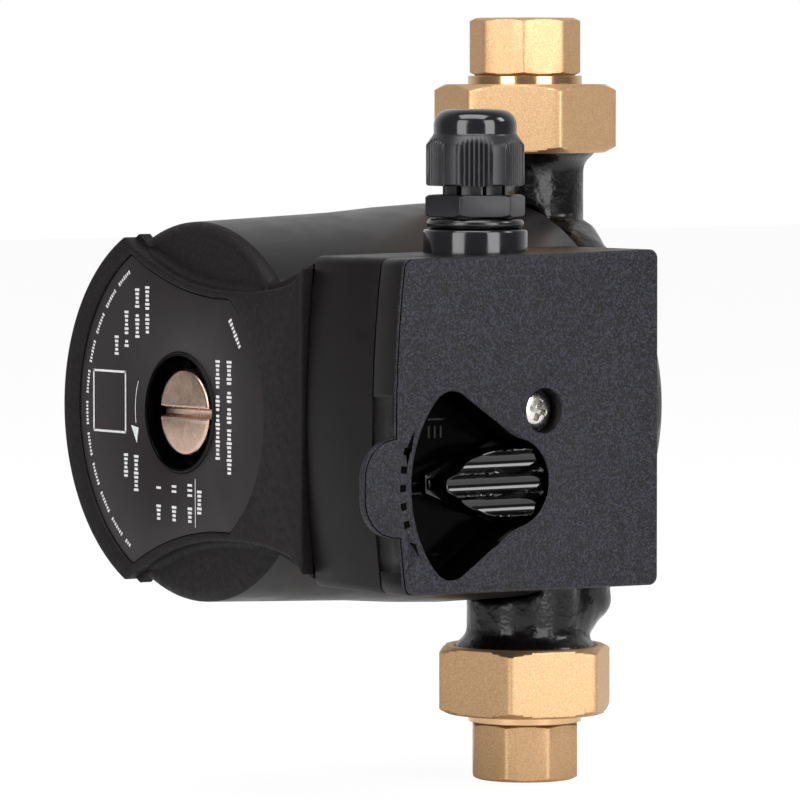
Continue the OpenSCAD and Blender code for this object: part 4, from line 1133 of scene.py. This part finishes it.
def tail(name, frame_of, turn, node, sizes):
    low, collar, high, width = 67.0, 76.4, AXIS_H, 24.3
    shape, corner = flats(width, 8, turn, 0.3), width / 2 / cos(pi / 8)
    rows = [(8.0, low), (15.6, low), (16.0, low + 0.3), (16.0, 70.0), (15.7, 70.3), (13.35, 70.3),
            (13.35, collar - 0.75), (13.2, collar - 0.6)]
    cone = [(under(shape, corner - 1.5 + 2 * d), d) for d in (0, 0.1, 0.25, 0.4, 0.55, 0.7)]
    rows += [(12.1, collar - 0.6)] + [(r, collar - 0.5 + d) for r, d in cone]
    rows += [(r, high - 0.1 - d) for r, d in reversed(cone)] + [(11.4, high), (10.6, high)]
    bm = bmesh.new()
    spun(bm, rows, at_flats(8, turn, (0, 0.6, 1.4, 3, 7, 13)))
    pitch, deep = sizes.pipe_thread / MM, sizes.thread_depth / MM
    thread_long, thread_r, step = 12.9, 9.34, 0.151

    def thread(z):
        fade = clamp((z - high + thread_long) / 1.2) * clamp((high - z) / 0.5)
        mouth = (1.2 - 2.4 * (high - z)) * (high - z < 0.5)

        def radius(t):
            wave = 0.5 - 0.5 * cos(2 * pi * (z / pitch - t / 2 / pi))
            return thread_r + deep * wave**0.8 * fade + mouth

        return radius

    bore = [(10.6, high)] + [(thread(z), z) for z in np.arange(high, high - thread_long, -step)]
    end = high - thread_long
    spun(bm, bore + [(9.32, end), (8.3, end), (8.0, end - 0.3), (8.0, low)], evenly(96))
    piece(name, bm, frame_of, ["grit_blasted_brass", "turned_brass"], [node],
          choose=lambda x, y, z, facing: abs(z) < collar - 0.55 or hypot(x, y) < 10.7, crease=24)


def machine_unions(scene):
    sizes = scene.pump_sizes
    nut("upper_nut_forging", UPWARDS, 44.5, "upper_union_nut")
    nut("lower_nut_forging", DOWNWARDS, -13, "lower_union_nut")
    tail("upper_tail_turning", UPWARDS, 5.3, "upper_tail", sizes)
    tail("lower_tail_turning", DOWNWARDS, -32.3, "lower_tail", sizes)


class PUMP_OT_unions(Operator):
    """Machines the union nuts and the octagonal tails with their pipe threads"""

    bl_idname = "pump.unions"
    bl_label = "Brass unions"

    def execute(self, context):
        machine_unions(context.scene)
        return {"FINISHED"}


def way_at(turn, rise):
    """Unit vector at a turn round the pipe and a rise above the floor, in radians."""
    return Vector((sin(turn) * cos(rise), -cos(turn) * cos(rise), sin(rise)))


# Name, degrees round from the camera and up, distance, width, height, and share of the power
SOFTBOXES = (
    ("softbox_left", -37, 14, 1.5, 0.7, 1.3, 1.1),
    ("softbox_right", 40, 14, 1.5, 0.7, 1.3, 1.2),
    ("softbox_top", -10, 68, 1.5, 1.5, 0.8, 1.6),
    ("softbox_small", 86, 35, 1.3, 0.34, 0.42, 0.25),
)


def set_stage(scene):
    stage = scene.pump_stage
    back = way_at(stage.azimuth, stage.elevation)
    right = Vector((cos(stage.azimuth), sin(stage.azimuth), 0))
    up = back.cross(right)
    c, s = cos(stage.roll), sin(stage.roll)
    right, up = right * c + up * s, up * c - right * s
    camera = placed("camera", bpy.data.cameras.new("camera"))
    camera.data.lens = stage.lens
    camera.data.clip_start, camera.data.clip_end = 0.05, 50
    turned = Matrix((right, up, back)).transposed().to_4x4()
    camera.matrix_world = Matrix.Translation(stage.camera_at) @ turned
    scene.camera = camera

    # two tall softboxes beside the camera, a wide one overhead and a small one for the knob's flutes
    middle = Vector((0.02, -0.04, AXIS_H * MM))
    for name, side, rise, far, wide, tall, power in SOFTBOXES:
        lamp = placed(name, bpy.data.lights.new(name, "AREA"))
        lamp.data.shape = "RECTANGLE"
        lamp.data.size, lamp.data.size_y = wide, tall
        lamp.data.energy = stage.softbox * power
        way = way_at(stage.azimuth + radians(side), radians(rise))
        lamp.location = middle + way * far
        lamp.rotation_euler = way.to_track_quat("Z", "Y").to_euler()

    world = bpy.data.worlds.new("white_room")
    world.use_nodes = True
    tree = world.node_tree
    path = add(tree, "LightPath").outputs
    # gloss shows the white backdrop behind the pump and a dimmer room on the camera's side
    way = add(tree, "TexCoord").outputs["Generated"]
    behind = (-sin(stage.azimuth), cos(stage.azimuth), 0)
    facing = add(tree, "VectorMath", {0: way, 1: behind}, operation="DOT_PRODUCT").outputs["Value"]
    shown = add(tree, "MapRange", {0: facing, 1: 0.1, 2: 0.75, 3: stage.near_room, 4: stage.far_room})
    gloss = add(tree, "Math", {0: path["Is Glossy Ray"], 1: shown}, operation="MULTIPLY")
    level = add(tree, "Math", {0: path["Is Camera Ray"], 1: path["Is Transmission Ray"]}, operation="MAXIMUM")
    for other in (gloss, stage.ambient):
        level = add(tree, "Math", {0: level, 1: other}, operation="MAXIMUM")
    shader = tree.nodes["Background"]
    shader.inputs["Color"].default_value = (1, 1, 1, 1)
    tree.links.new(level.outputs[0], shader.inputs["Strength"])
    scene.world = world

    bm = bmesh.new()
    bmesh.ops.create_grid(bm, x_segments=24, y_segments=24, size=4)
    floor = placed("floor", mesh_of("floor", bm))
    # just under the lower tail, so that no two faces lie in one plane
    floor.location = (0, 0, -0.0006)
    # matt white paper that glows for the camera alone, so that it is white and keeps the shadow
    paper = Finish("white_paper", (0.9, 0.9, 0.9), roughness=0.9)
    tree = paper.tree
    path = add(tree, "LightPath").outputs
    glow = add(tree, "Emission", {"Strength": 1.05})
    seen = add(tree, "Math", {0: path["Is Camera Ray"], 1: 0.9}, operation="MULTIPLY")
    mix = add(tree, "MixShader", {0: seen, 1: paper.shader, 2: glow})
    tree.links.new(mix.outputs[0], tree.nodes["Material Output"].inputs["Surface"])
    floor.data.materials.append(paper.material)
    scene.view_settings.view_transform = "Standard"


class PUMP_OT_stage(Operator):
    """Sets up the pale floor, the softboxes, the white room and the camera"""

    bl_idname = "pump.stage"
    bl_label = "Stage"

    def execute(self, context):
        set_stage(context.scene)
        return {"FINISHED"}


class PUMP_PT_panel(Panel):
    """Lists the pieces of the pump"""

    bl_label = "Pump"
    bl_idname = "PUMP_PT_panel"
    bl_space_type = "VIEW_3D"
    bl_region_type = "UI"
    bl_category = "Pump"

    def draw(self, context):
        for name, group in GROUPS.items():
            for key in group.__annotations__:
                self.layout.prop(getattr(context.scene, name), key)
        for operator in OPERATORS:
            self.layout.operator(operator.bl_idname)


GROUPS = {"pump_sizes": PumpSizes, "pump_colours": PumpColours, "pump_stage": PumpStage}
OPERATORS = (
    PUMP_OT_stage, PUMP_OT_finishes, PUMP_OT_housing, PUMP_OT_motor, PUMP_OT_plate, PUMP_OT_plug,
    PUMP_OT_box_base, PUMP_OT_box_cover, PUMP_OT_knob, PUMP_OT_cover_screw, PUMP_OT_gland, PUMP_OT_unions,
)


def register():
    for made in (*GROUPS.values(), *OPERATORS, PUMP_PT_panel):
        bpy.utils.register_class(made)
    for key, group in GROUPS.items():
        setattr(bpy.types.Scene, key, PointerProperty(type=group))


def unregister():
    for key in GROUPS:
        delattr(bpy.types.Scene, key)
    for made in reversed((*GROUPS.values(), *OPERATORS, PUMP_PT_panel)):
        bpy.utils.unregister_class(made)


def main():
    register()
    for operator in OPERATORS:
        group, name = operator.bl_idname.split(".")
        if getattr(getattr(bpy.ops, group), name)() != {"FINISHED"}:
            raise RuntimeError(f"{operator.bl_label} wasn't made")


if __name__ == "__main__":
    main()
